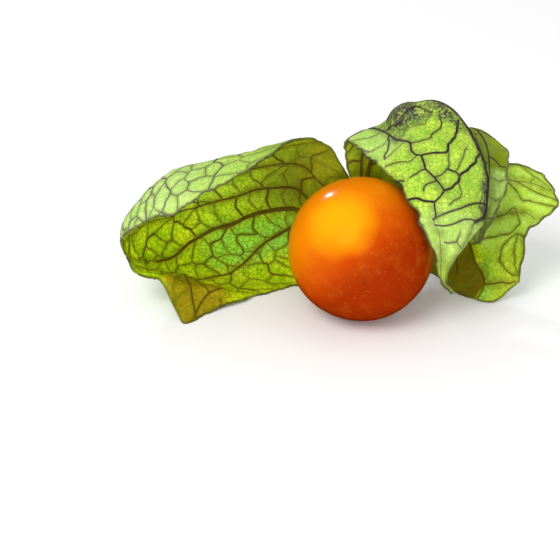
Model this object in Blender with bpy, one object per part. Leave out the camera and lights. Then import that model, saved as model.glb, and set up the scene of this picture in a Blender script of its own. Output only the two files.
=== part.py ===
"""A physalis berry lying in its own papery husk, torn open into a left half, a hood and two right lobes.

Run with: blender --background --python part.py
The named sizes are in millimetres and become metres as the meshes are made. +Z is up, the husk's torn mouth
faces -Y, and the origin is the middle of the flat spot that the berry rests on.
"""

import math

import bmesh
import bpy
import numpy as np

MM = 0.001

# The berry: a round fruit on its side, its stem end at +Y and its blossom end at -Y.
BERRY_RADIUS = 9.45
BERRY_LENGTH_RADIUS = 9.3
BERRY_SINK = 0.14  # how far the round form would dip below the surface it rests on
BERRY_RINGS = 30
BERRY_SIDES = 44
STEM_DIMPLE = 0.45
STYLE_POINT = 0.25

# The husk: one sheet that grew round the berry, thicker along its ribs.
WEB_THICKNESS = 0.6
RIB_THICKNESS = 1.05
RIB_HALF_WIDTH = 0.42
GAP = 0.35  # clear space between the husk and the berry or the stem
ROWS_PER_STATION = 3
WELD = 0.0005  # points this close are one

# The husk's base is a shallow cup round the stem: radius, and depth towards the berry.
BASE_CENTRE = np.array([1.0, 11.6, 9.3])
BASE_RINGS = ((1.4, 0.0), (2.9, 0.1), (4.8, 0.35), (7.0, 0.9))

# The stem: the way it goes and its radius there, from the berry's scar to the cut end on the surface.
STEM_NECK_RADIUS = 0.95
STEM_SIDES = 14
STEM_ROUTE = (
    ((0.5, 9.4, 9.3), 0.85),
    ((0.95, 10.9, 9.3), STEM_NECK_RADIUS),
    ((1.0, 12.5, 9.3), STEM_NECK_RADIUS),
    ((1.0, 12.75, 9.28), 2.0),
    ((1.0, 13.3, 9.2), 1.75),
    ((1.1, 14.4, 8.7), 1.15),
    ((1.5, 16.2, 7.2), 0.92),
    ((2.2, 18.2, 4.9), 0.86),
    ((3.0, 20.1, 2.6), 0.9),
    ((3.6, 21.5, 1.1), 1.05),
    ((3.8, 21.9, 0.85), 1.1),
)

# A lobe of the husk springs from a sector of the base, in degrees anticlockwise from +X as the berry sees it.
# Each of its stations is a line across it, from one margin to the other: three points are an arc, and more
# are a smooth curve. Ribs are shares of the way across. The wave is its depth and its number along the lobe.
LEFT_LOBE = {
    "name": "left",
    "sector": (112, 250),
    "columns": 15,
    "ribs": (0.0, 0.27, 0.47, 0.67, 0.88),
    "wave": (0.25, 3.0),
    "hem": 4,
    "hem_turn": 256,
    "stations": (
        ((-4.2, 12.3, 19.0), (-8.6, 13.2, 9.4), (-4.2, 9.6, 1.5)),
        ((-8.6, 9.9, 20.3), (-13.2, 14.6, 9.5), (-8.8, 7.6, 0.6)),
        ((-15.0, 4.2, 18.7), (-17.8, 15.2, 9.5), (-14.6, 4.2, 0.4)),
        ((-21.0, 0.8, 16.4), (-23.2, 13.6, 9.5), (-19.8, 2.9, 1.5)),
        ((-24.2, 0.0, 15.2), (-26.1, 11.4, 9.4), (-23.4, 1.8, 2.7)),
        ((-27.2, -0.4, 13.9), (-28.4, 8.9, 9.3), (-26.6, 1.4, 4.2)),
        ((-30.1, 0.0, 11.5), (-31.0, 4.7, 9.5), (-29.6, 0.9, 6.0)),
        ((-30.9, 0.8, 9.9), (-31.1, 1.7, 9.0), (-30.6, 0.8, 7.9)),
    ),
    # Below its lower rib the left lobe bends into a hem, which reaches the surface in a pointed flap.
    "hem_ends": (
        (-4.3, 8.9, 1.1),
        (-8.9, 6.7, 0.45),
        (-14.6, 3.0, 0.4),
        (-20.0, -0.9, 0.4),
        (-22.9, -3.4, 0.35),
        (-26.2, 0.3, 3.6),
        (-29.5, 0.2, 5.7),
        (-30.5, 0.4, 7.7),
    ),
}
HOOD_LOBE = {
    "name": "hood",
    "sector": (112, 55),
    "columns": 9,
    "ribs": (0.0, 0.38, 0.66, 1.0),
    "wave": (0.2, 2.5),
    "stations": (
        ((-2.1, 10.6, 19.6), (4.2, 12.3, 20.9), (10.3, 11.2, 19.7)),
        (
            (0.3, 5.5, 20.2),
            (3.7, 7.5, 22.1),
            (5.7, 8.8, 25.1),
            (10.1, 8.9, 25.8),
            (14.8, 7.6, 22.4),
        ),
        ((3.3, 0.8, 19.1), (11.0, 2.8, 23.2), (16.2, 2.5, 17.6)),
        ((5.8, -3.2, 17.2), (11.6, -2.2, 18.0), (15.6, -0.2, 12.9)),
        ((8.2, -5.2, 13.2), (10.9, -5.4, 12.8), (13.4, -2.8, 12.1)),
        ((9.3, -6.1, 9.6), (10.35, -6.25, 9.5), (11.4, -5.8, 9.5)),
        ((9.75, -6.65, 7.9), (10.35, -6.75, 7.85), (10.95, -6.65, 7.9)),
        ((11.1, -7.45, 6.7), (11.35, -7.3, 7.0), (11.5, -7.05, 7.4)),
    ),
}
UPPER_RIGHT_LOBE = {
    "name": "upper_right",
    "sector": (55, 15),
    "columns": 6,
    "ribs": (0.5,),
    "wave": (0.3, 2.0),
    "stations": (
        ((8.9, 12.3, 17.2), (12.0, 12.6, 16.4), (13.3, 12.1, 14.4)),
        ((11.8, 12.6, 20.5), (15.0, 12.3, 21.0), (17.8, 11.1, 19.7)),
        ((13.9, 10.9, 19.8), (17.2, 9.8, 20.1), (19.6, 8.4, 19.3)),
        ((14.6, 7.6, 14.2), (17.6, 6.6, 14.9), (19.4, 5.0, 15.2)),
        ((14.8, 5.0, 10.7), (16.2, 4.5, 10.7), (17.3, 3.5, 11.7)),
        ((15.2, 3.0, 8.4), (15.5, 2.8, 8.4), (15.8, 2.6, 8.6)),
    ),
}
RIGHT_LOBE = {
    "name": "right",
    "sector": (15, -48),
    "columns": 10,
    "ribs": (0.0, 0.3, 0.62, 1.0),
    "wave": (0.35, 2.5),
    "stations": (
        ((12.6, 12.9, 11.4), (12.6, 11.6, 6.8), (9.5, 9.0, 1.6)),
        ((17.0, 11.4, 16.2), (18.0, 9.8, 9.4), (14.0, 4.2, 0.5)),
        (
            (21.4, 9.6, 17.1),
            (23.2, 8.2, 13.0),
            (21.3, 6.4, 9.8),
            (20.6, 5.4, 5.6),
            (17.9, 2.4, 0.3),
        ),
        (
            (24.7, 7.8, 16.2),
            (26.3, 6.2, 12.7),
            (22.2, 3.9, 9.6),
            (22.1, 3.5, 6.0),
            (21.4, 3.0, 2.8),
        ),
    ),
}
# Under the berry the husk is torn off short.
UNDER_LOBE = {
    "name": "under",
    "sector": (-48, -104),
    "columns": 6,
    "ribs": (0.25, 0.75),
    "wave": (0.0, 1.0),
    "stations": (
        ((6.6, 8.4, 2.7), (0.9, 9.2, 0.9), (-2.2, 9.3, 1.5)),
    ),
}
LOBES = (LEFT_LOBE, HOOD_LOBE, UPPER_RIGHT_LOBE, RIGHT_LOBE, UNDER_LOBE)

# Where neighbouring lobes are still one sheet: a lobe and its margin, the next one and its margin, and the
# base ring at which the tear between them ends. Margin 0 is the first column of a lobe and -1 the last.
TEARS = (
    ("left", 0, "hood", 0, 2),
    ("hood", -1, "upper_right", 0, 3),
    ("upper_right", -1, "right", 0, 3),
    ("right", -1, "under", 0, 3),
    ("under", -1, "left", -1, 3),
)
TEAR_OPENING = 3  # degrees between the left lobe and the hood at the last base ring


def berry_centre():
    """The berry's middle, which sits its own radius above the surface, less the dip of the flat spot."""
    return np.array([0.0, 0.0, BERRY_RADIUS - BERRY_SINK])


def unit(vectors):
    """Vectors made one long."""
    return vectors / np.linalg.norm(vectors, axis=-1, keepdims=True)


def base_axes():
    """The base cup's axis, away from the berry, and its right and up directions."""
    axis = unit(BASE_CENTRE - berry_centre())
    right = unit(np.array([1.0, 0.0, 0.0]) - axis * axis[0])
    return axis, right, np.cross(right, axis)


def ring_line(ring, sector, shares):
    """Points of a lobe's sector on one ring of the base cup. The last ring has the tear by the hood."""
    radius, depth = BASE_RINGS[ring]
    axis, right, up = base_axes()
    first, last = sector
    if ring == len(BASE_RINGS) - 1 and first == LEFT_LOBE["sector"][0]:
        first += math.copysign(TEAR_OPENING / 2, last - first)
    turn = np.radians(first + (last - first) * shares)[:, None]
    return BASE_CENTRE - axis * depth + radius * (np.cos(turn) * right + np.sin(turn) * up)


def arc_line(ends_and_middle, shares):
    """Points at shares of the way along the circular arc through three points."""
    first, middle, last = (np.asarray(point, float) for point in ends_and_middle)
    chord, rise = last - first, middle - first
    normal = np.cross(chord, rise)
    centre = first + (
        np.dot(rise, rise) * np.cross(normal, chord) + np.dot(chord, chord) * np.cross(rise, normal)
    ) / (2 * np.dot(normal, normal))
    radius = np.linalg.norm(first - centre)
    across = (first - centre) / radius
    along = np.cross(unit(normal), across)

    def turn_of(point):
        return math.atan2(np.dot(point - centre, along), np.dot(point - centre, across)) % (2 * math.pi)

    whole = turn_of(last)
    if turn_of(middle) > whole:
        along, whole = -along, 2 * math.pi - whole
    turn = (whole * shares)[:, None]
    return centre + radius * (np.cos(turn) * across + np.sin(turn) * along)


def smooth_line(points, places):
    """A curve through points, read at places counted in points from the first.

    A point's slope allows for how far its neighbours are, so a long step beside a short one makes no loop.
    """
    points = np.asarray(points, float)
    gaps = np.sqrt(np.maximum(np.linalg.norm(np.diff(points, axis=0), axis=-1, keepdims=True), 1e-6))
    steps = np.diff(points, axis=0) / gaps
    slopes = np.concatenate([steps[:1], steps[:-1] + steps[1:], steps[-1:]])
    slopes[1:-1] -= (points[2:] - points[:-2]) / (gaps[:-1] + gaps[1:])
    start = np.minimum(np.floor(places).astype(int), len(points) - 2)
    part = (places - start).reshape((-1,) + (1,) * (points.ndim - 1))
    ease = part * part * (3 - 2 * part)
    leaving = gaps[start] * slopes[start] * part * (1 - part) ** 2
    arriving = gaps[start] * slopes[start + 1] * part**2 * (1 - part)
    return points[start] * (1 - ease) + points[start + 1] * ease + leaving - arriving


def station_line(points, shares):
    """One station of a lobe, read at shares of the way across."""
    if len(points) == 3:
        return arc_line(points, shares)
    return smooth_line(points, shares * (len(points) - 1))


def column_shares(lobe):
    """Where a lobe's columns lie, as shares of the way across: evenly, with three close on each rib."""
    even = np.linspace(0, 1, lobe["columns"] + 1)
    spacing = 0.3 / lobe["columns"]
    ribs = [rib + step * spacing for rib in lobe["ribs"] for step in (-1, 0, 1)]
    ribs = [share for share in ribs if 0 < share < 1]
    clear = [share for share in even if all(abs(share - rib) > spacing * 1.1 for rib in ribs)]
    return np.array(sorted({0.0, 1.0, *clear, *ribs}))


def rib_weight(lobe, shares, width):
    """1 on a rib, falling to 0 between ribs, for a lobe that is width mm across at each row."""
    nearest = np.min([np.abs(shares - rib) for rib in lobe["ribs"]], axis=0)
    return np.exp(-((nearest[None, :] * width[:, None] / RIB_HALF_WIDTH) ** 2))


def off_berry_and_surface(points):
    """Moves points of the husk's middle surface clear of the berry, and up to the surface it lies on."""
    away = points - berry_centre()
    distance = np.linalg.norm(away, axis=-1, keepdims=True)
    clear = BERRY_RADIUS + GAP + RIB_THICKNESS / 2
    points = berry_centre() + away * np.maximum(distance, clear) / distance
    points[..., 2] = np.maximum(points[..., 2], WEB_THICKNESS / 2)
    return points


def surface_normals(grid):
    """Normals of a grid of points, from the lines along it and across it."""
    along = np.gradient(grid, axis=0)
    across = np.gradient(grid, axis=1)
    return unit(np.cross(along, across) + 1e-12)


def lobe_grid(lobe):
    """Rows and columns of points on a lobe's middle surface, and the rib weight at each."""
    shares = column_shares(lobe)
    lines = [ring_line(ring, lobe["sector"], shares) for ring in range(len(BASE_RINGS))]
    lines += [station_line(points, shares) for points in lobe["stations"]]
    lines = np.array(lines)
    if "hem" in lobe:
        lines, shares = with_hem(lobe, lines, shares)
    places = np.linspace(0, len(lines) - 1, (len(lines) - 1) * ROWS_PER_STATION + 1)
    grid = smooth_line(lines, places)
    width = np.linalg.norm(np.diff(grid, axis=1), axis=2).sum(axis=1)
    ribs = rib_weight(lobe, np.minimum(shares, 1.0), width)
    ribs *= np.clip(width / 4, 0, 1)[:, None]
    return off_berry_and_surface(waved(lobe, grid, shares, places)), ribs


def with_hem(lobe, lines, shares):
    """Adds the columns of a lobe's hem beyond its last margin. On the base cup the hem is a sliver."""
    steps = np.arange(1, lobe["hem"] + 1) / lobe["hem"]
    turn = (lobe["hem_turn"], lobe["hem_turn"])
    ends = [ring_line(ring, turn, np.zeros(1))[0] for ring in range(len(BASE_RINGS))]
    ends = np.array(ends + [np.array(end, float) for end in lobe["hem_ends"]])
    hem = lines[:, -1:, :] + (ends - lines[:, -1])[:, None, :] * steps[None, :, None]
    return np.concatenate([lines, hem], axis=1), np.concatenate([shares, 1 + steps])


def waved(lobe, grid, shares, places):
    """The grid with its margins waved, from nothing at the base cup to the full depth towards the tip."""
    depth, waves = lobe["wave"]
    last_ring = len(BASE_RINGS) - 1
    grown = np.clip((places - last_ring) / 2, 0, 1) * np.clip((places[-1] - places) / 2, 0, 1)
    margin = np.abs(2 * np.clip(shares, 0, 1) - 1) ** 2
    swing = np.sin(2 * math.pi * waves * (places - last_ring) / max(places[-1] - last_ring, 1))
    shift = depth * grown[:, None] * margin[None, :] * swing[:, None]
    return grid + surface_normals(grid) * shift[..., None]


def add_object(name, mesh_or_curve, material):
    """Links an object to the scene with its material."""
    thing = bpy.data.objects.new(name, mesh_or_curve)
    bpy.context.scene.collection.objects.link(thing)
    thing.data.materials.append(material)
    return thing


def finish(name, colour, roughness):
    """A plain material of one colour."""
    material = bpy.data.materials.new(name)
    material.use_nodes = True
    shader = material.node_tree.nodes["Principled BSDF"]
    shader.inputs["Base Color"].default_value = (*colour, 1)
    shader.inputs["Roughness"].default_value = roughness
    shader.inputs["Metallic"].default_value = 0
    return material


def mesh_from(name, mesh):
    """Writes a bmesh in millimetres to a mesh in metres, shaded smooth."""
    bmesh.ops.scale(mesh, vec=(MM, MM, MM), verts=mesh.verts)
    data = bpy.data.meshes.new(name)
    mesh.to_mesh(data)
    mesh.free()
    data.shade_smooth()
    data.set_sharp_from_angle(angle=math.radians(50))
    return data


def joined_grids():
    """Each lobe's grid by name, with neighbours given the same margin as far out as they are one sheet."""
    grids = {lobe["name"]: lobe_grid(lobe) for lobe in LOBES}
    for name, margin, other, other_margin, ring in TEARS:
        rows = slice(0, ring * ROWS_PER_STATION + 1)
        for values, other_values in zip(grids[name], grids[other]):
            shared = (values[rows, margin] + other_values[rows, other_margin]) / 2
            values[rows, margin] = shared
            other_values[rows, other_margin] = shared
    return grids


def husk_sheet():
    """The husk's middle surface: its lobes, which share the base cup, with a rib weight on each vertex."""
    sheet = bmesh.new()
    weight = sheet.verts.layers.float.new("rib")
    for grid, ribs in joined_grids().values():
        rows, columns = grid.shape[:2]
        verts = [[sheet.verts.new(grid[r, c]) for c in range(columns)] for r in range(rows)]
        for r in range(rows):
            for c in range(columns):
                verts[r][c][weight] = float(ribs[r, c])
        for r in range(rows - 1):
            for c in range(columns - 1):
                sheet.faces.new((verts[r][c], verts[r][c + 1], verts[r + 1][c + 1], verts[r + 1][c]))
    bmesh.ops.remove_doubles(sheet, verts=sheet.verts, dist=WELD)
    bmesh.ops.recalc_face_normals(sheet, faces=sheet.faces)
    bmesh.ops.triangulate(sheet, faces=sheet.faces, quad_method="FIXED")
    sheet.normal_update()
    return sheet


def thickened(sheet):
    """A closed solid with the sheet as its middle surface, as thick as the web or, on a rib, as the rib."""
    weight = sheet.verts.layers.float["rib"]
    rim_edges = [edge for edge in sheet.edges if edge.is_boundary]
    faces = list(sheet.faces)
    sides = {}
    for vert in list(sheet.verts):
        half = (WEB_THICKNESS + (RIB_THICKNESS - WEB_THICKNESS) * vert[weight]) / 2
        pair = [vert.co + vert.normal * half, vert.co - vert.normal * half]
        for point in pair:
            point.z = max(point.z, 0.0)
        sides[vert] = pair
    solid = bmesh.new()
    made = {vert: [solid.verts.new(point) for point in pair] for vert, pair in sides.items()}
    for face in faces:
        solid.faces.new([made[vert][0] for vert in face.verts])
        solid.faces.new([made[vert][1] for vert in reversed(face.verts)])
    for edge in rim_edges:
        first, second = edge_in_face_order(edge)
        solid.faces.new((made[second][0], made[first][0], made[first][1], made[second][1]))
    sheet.free()
    bmesh.ops.triangulate(solid, faces=[face for face in solid.faces if len(face.verts) > 3])
    return solid


def edge_in_face_order(edge):
    """A rim edge's two vertices in the order that its one face goes round."""
    loop = edge.link_loops[0]
    return loop.vert, loop.link_loop_next.vert


def husk():
    """The papery husk."""
    solid = thickened(husk_sheet())
    return add_object("husk", mesh_from("husk", solid), finish("husk", (0.36, 0.46, 0.13), 0.6))


def berry_point(share, turn):
    """A point on the berry: share is 0 at the blossom end and 1 at the stem end, turn goes round its axis."""
    angle = math.pi * share
    swell = 1 + (0.006 * math.cos(2 * turn + 0.4) + 0.004 * math.cos(5 * turn)) * math.sin(angle)
    radius = BERRY_RADIUS * math.sin(angle) * swell
    along = -BERRY_LENGTH_RADIUS * math.cos(angle)
    along -= STEM_DIMPLE * math.exp(-(((1 - share) / 0.09) ** 2))
    along -= STYLE_POINT * math.exp(-((share / 0.02) ** 2))
    centre = berry_centre()
    return (centre[0] + radius * math.cos(turn), centre[1] + along, centre[2] + radius * math.sin(turn))


def berry():
    """The fruit, cut flat where it rests."""
    mesh = bmesh.new()
    ends = [mesh.verts.new(berry_point(share, 0)) for share in (0, 1)]
    turns = [2 * math.pi * side / BERRY_SIDES for side in range(BERRY_SIDES)]
    rings = [
        [mesh.verts.new(berry_point(ring / BERRY_RINGS, turn)) for turn in turns]
        for ring in range(1, BERRY_RINGS)
    ]
    for ring, following in zip(rings, rings[1:]):
        for side in range(BERRY_SIDES):
            onward = (side + 1) % BERRY_SIDES
            mesh.faces.new((ring[side], ring[onward], following[onward], following[side]))
    for side in range(BERRY_SIDES):
        onward = (side + 1) % BERRY_SIDES
        mesh.faces.new((ends[0], rings[0][onward], rings[0][side]))
        mesh.faces.new((ends[1], rings[-1][side], rings[-1][onward]))
    everything = mesh.verts[:] + mesh.edges[:] + mesh.faces[:]
    level = {"plane_co": (0, 0, 0), "plane_no": (0, 0, 1)}
    cut = bmesh.ops.bisect_plane(mesh, geom=everything, clear_inner=True, **level)
    rim = [item for item in cut["geom_cut"] if isinstance(item, bmesh.types.BMEdge)]
    bmesh.ops.contextual_create(mesh, geom=rim)
    bmesh.ops.recalc_face_normals(mesh, faces=mesh.faces)
    return add_object("berry", mesh_from("berry", mesh), finish("berry", (0.95, 0.32, 0.02), 0.25))


def stem():
    """The cut fruit stalk, which passes through the husk's base and droops to the surface."""
    route = np.array([point for point, _ in STEM_ROUTE], float)
    radii = np.array([radius for _, radius in STEM_ROUTE], float)
    mesh = bmesh.new()
    along = unit(np.gradient(route, axis=0))
    rings = []
    turns = [2 * math.pi * side / STEM_SIDES for side in range(STEM_SIDES)]
    for centre, direction, radius in zip(route, along, radii):
        right = unit(np.cross(direction, np.array([0.0, 0.0, 1.0])))
        up = np.cross(right, direction)
        spokes = [math.cos(turn) * right + math.sin(turn) * up for turn in turns]
        rings.append([mesh.verts.new(centre + radius * spoke) for spoke in spokes])
    for ring, following in zip(rings, rings[1:]):
        for side in range(STEM_SIDES):
            onward = (side + 1) % STEM_SIDES
            mesh.faces.new((ring[side], ring[onward], following[onward], following[side]))
    mesh.faces.new(rings[0])
    mesh.faces.new(rings[-1])
    bmesh.ops.recalc_face_normals(mesh, faces=mesh.faces)
    for vert in mesh.verts:
        vert.co.z = max(vert.co.z, 0.0)
    return add_object("stem", mesh_from("stem", mesh), finish("stem", (0.42, 0.36, 0.12), 0.7))


def build():
    """Clears the scene and makes the three pieces."""
    for thing in list(bpy.data.objects):
        bpy.data.objects.remove(thing)
    berry()
    husk()
    stem()


build()
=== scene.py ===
# %% [markdown]
# # A physalis berry in its torn husk
#
# A physalis, or cape gooseberry, grows inside a papery lantern called the husk, which is the flower's calyx
# grown large. When the fruit is picked and the husk is torn open, the husk falls back in broad lobes with the
# round orange berry still sitting on its stalk between them. This lesson builds the three things that grew:
# the berry, the husk and the stalk. The solids that carry them are loaded first, and all the rest is fitted
# to that frame, in the same place and at the same size.

import heapq
import math
import random
from functools import partial

import bpy
import numpy as np
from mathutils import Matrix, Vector, kdtree, noise
from mathutils.geometry import delaunay_2d_cdt


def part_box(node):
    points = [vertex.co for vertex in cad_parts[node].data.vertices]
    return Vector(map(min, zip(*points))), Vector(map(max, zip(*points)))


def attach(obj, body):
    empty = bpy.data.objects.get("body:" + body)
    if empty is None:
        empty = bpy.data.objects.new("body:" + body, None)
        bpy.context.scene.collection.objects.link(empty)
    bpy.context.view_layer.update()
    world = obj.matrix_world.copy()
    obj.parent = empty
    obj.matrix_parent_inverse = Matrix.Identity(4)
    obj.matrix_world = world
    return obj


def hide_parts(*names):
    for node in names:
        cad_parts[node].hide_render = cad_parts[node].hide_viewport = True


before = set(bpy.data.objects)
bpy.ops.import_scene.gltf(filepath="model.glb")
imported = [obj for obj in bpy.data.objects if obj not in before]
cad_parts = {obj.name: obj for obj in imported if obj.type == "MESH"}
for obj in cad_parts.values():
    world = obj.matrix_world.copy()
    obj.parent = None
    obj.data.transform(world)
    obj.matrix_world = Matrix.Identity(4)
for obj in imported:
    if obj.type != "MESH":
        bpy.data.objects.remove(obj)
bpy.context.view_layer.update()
print("nodes:", ", ".join(sorted(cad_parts)))

# %% [markdown]
# ## Measures and colours
#
# Everything below is worked out in millimetres, because that is how a fruit is measured, and turned into
# Blender's metres in one place. Colours are written as the hex values that a paint chart gives, and one
# function turns them into the linear light that a shader adds up.

# %% Measures and colours
MM = 0.001
BERRY_RADIUS = 9.45
BERRY_LENGTH_RADIUS = 9.3
BERRY_SINK = 0.14  # how far the round form would dip below the surface it rests on
BERRY_CENTRE = np.array([0.0, 0.0, BERRY_RADIUS - BERRY_SINK])
solid_size = [(high - low) / MM for low, high in zip(*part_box("berry"))]
print("the solid berry is", " x ".join(f"{side:.1f}" for side in solid_size), "mm")


def light(hex_colour):
    """An sRGB hex colour as linear red, green, blue and full opacity."""
    values = [int(hex_colour[place:place + 2], 16) / 255 for place in (1, 3, 5)]
    return tuple(v / 12.92 if v <= 0.04045 else ((v + 0.055) / 1.055) ** 2.4 for v in values) + (1.0,)


def unit(vectors):
    """Vectors made one long."""
    return vectors / np.maximum(np.linalg.norm(vectors, axis=-1, keepdims=True), 1e-9)


def smoothstep(low, high, values):
    """0 below low, 1 above high, and a smooth rise between."""
    part = np.clip((values - low) / (high - low), 0, 1)
    return part * part * (3 - 2 * part)


def fading(low, high, values):
    """1 below low, 0 above high, and a smooth fall between."""
    return 1 - smoothstep(low, high, values)


def ripple(points, size, seed):
    """Smooth noise about -1 to 1 at each point, whose bumps are about size mm apart."""
    shift = Vector((seed * 7.3, seed * 3.1, seed * 5.7))
    flat = points.reshape(-1, points.shape[-1]) / size
    return np.array([noise.noise(Vector(p) + shift) for p in flat]).reshape(points.shape[:-1])


# %% [markdown]
# ## The husk's plan
#
# A husk is one thin sheet, so it is planned as one sheet too: a shallow cup round the stalk, from which each
# torn lobe springs. It could be cut from a plane and bent, but a grown thing has no flat pattern. So a lobe is
# drawn as a boatbuilder draws a hull, by a few lines across it called stations, which a smooth surface then
# passes through. Three points make an arc and more make a free curve. It is the same plan that the solid husk
# was built from, and here it is read much more finely.
#
# What the solid doesn't have are the veins. A rib is drawn by its course, as mm along the lobe and the share of
# the width it has reached there, and by its half-width at the stalk and at its end. The plainest of the lesser
# veins are drawn in the same way, each with one half-width and a darkness from 0 to 1. The rest of the net is
# grown from the size of its cells, and "veins" gives the half-widths of its finest and its strongest.

# %% The base cup
BASE_CENTRE = np.array([1.0, 11.6, 9.3])
BASE_RINGS = ((1.4, 0.0), (2.9, 0.1), (4.8, 0.35), (7.0, 0.9))  # each ring's radius and its depth, in mm
TEAR_OPENING = 3  # degrees between the left lobe and the hood at the last base ring
print("the base cup is", 2 * BASE_RINGS[-1][0], "mm across")

# %% [markdown]
# ## The left lobe
#
# The broadest lobe is half the lantern still in its round shape. It is open to the front, so its inner face
# shows. Past a crease, its lower margin turns forward into a pointed flap, here called the hem.

# %% The left lobe
LEFT_LOBE = {
    "name": "left",
    "sector": (112, 250),
    "ribs": (
        (((0, 0.2), (10, 0.25), (15, 0.33), (20, 0.42), (25, 0.46)), 0.16, 0.08),
        (((0, 0.36), (10, 0.425), (15, 0.46), (20, 0.52), (27, 0.57)), 0.24, 0.1),
        (((0, 0.5), (10, 0.555), (15, 0.59), (20, 0.63), (25, 0.69), (31, 0.81)), 0.4, 0.17),
        (((0, 0.64), (10, 0.68), (15, 0.75), (20, 0.83), (26, 0.89)), 0.28, 0.12),
    ),
    "crease": ((0, 1.0), (19, 1.0), (22, 0.98), (24.5, 0.93), (26, 0.87), (27.3, 0.85), (29, 0.9), (31, 1.0)),
    "drawn": (
        (((27.2, 0.87), (26.9, 1.0), (26.3, 1.5), (25.7, 1.98)), 0.14, 1.0),
        (((26.3, 1.85), (25.3, 1.5), (24.2, 1.2), (22.6, 1.02)), 0.13, 1.0),
        (((26.0, 0.89), (25.1, 0.97), (24.5, 1.06), (24.2, 1.25)), 0.12, 0.9),
    ),
    "cell": 2.7,
    "veins": (0.07, 0.15),
    "wave": (0.25, 3.0),
    "hem_turn": 256,
    "stations": (
        ((-4.2, 12.3, 19.0), (-8.6, 13.2, 9.4), (-4.2, 9.6, 1.5)),
        ((-8.6, 9.9, 20.3), (-13.2, 14.6, 9.5), (-8.8, 7.6, 0.6)),
        ((-15.0, 4.2, 18.7), (-17.8, 15.2, 9.5), (-14.6, 4.2, 0.4)),
        ((-21.0, 0.8, 16.4), (-23.2, 13.6, 9.5), (-19.8, 2.9, 1.5)),
        ((-24.2, 0.0, 15.2), (-26.1, 11.4, 9.4), (-23.4, 1.8, 2.7)),
        ((-27.2, -0.4, 13.9), (-28.4, 8.9, 9.3), (-26.6, 1.4, 4.2)),
        ((-30.1, 0.0, 11.5), (-31.0, 4.7, 9.5), (-29.6, 0.9, 6.0)),
        ((-30.9, 0.8, 9.9), (-31.1, 1.7, 9.0), (-30.6, 0.8, 7.9)),
    ),
    "hem_ends": (
        (-4.3, 8.9, 1.1), (-8.9, 6.7, 0.45), (-14.6, 3.0, 0.4), (-20.0, -0.9, 0.4),
        (-22.9, -3.4, 0.35), (-26.2, 0.3, 3.6), (-29.5, 0.2, 5.7), (-30.5, 0.4, 7.7),
    ),
}
print("left lobe:", len(LEFT_LOBE["stations"]), "stations,", len(LEFT_LOBE["drawn"]), "veins drawn")

# %% [markdown]
# ## The hood
#
# The hood leans over the berry and narrows to a hooked tip. Its outer face is the one that the eye falls on, so
# most of its veins are drawn one by one. A bulge, given by its place, its radius and its height, rounds its top.

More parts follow.
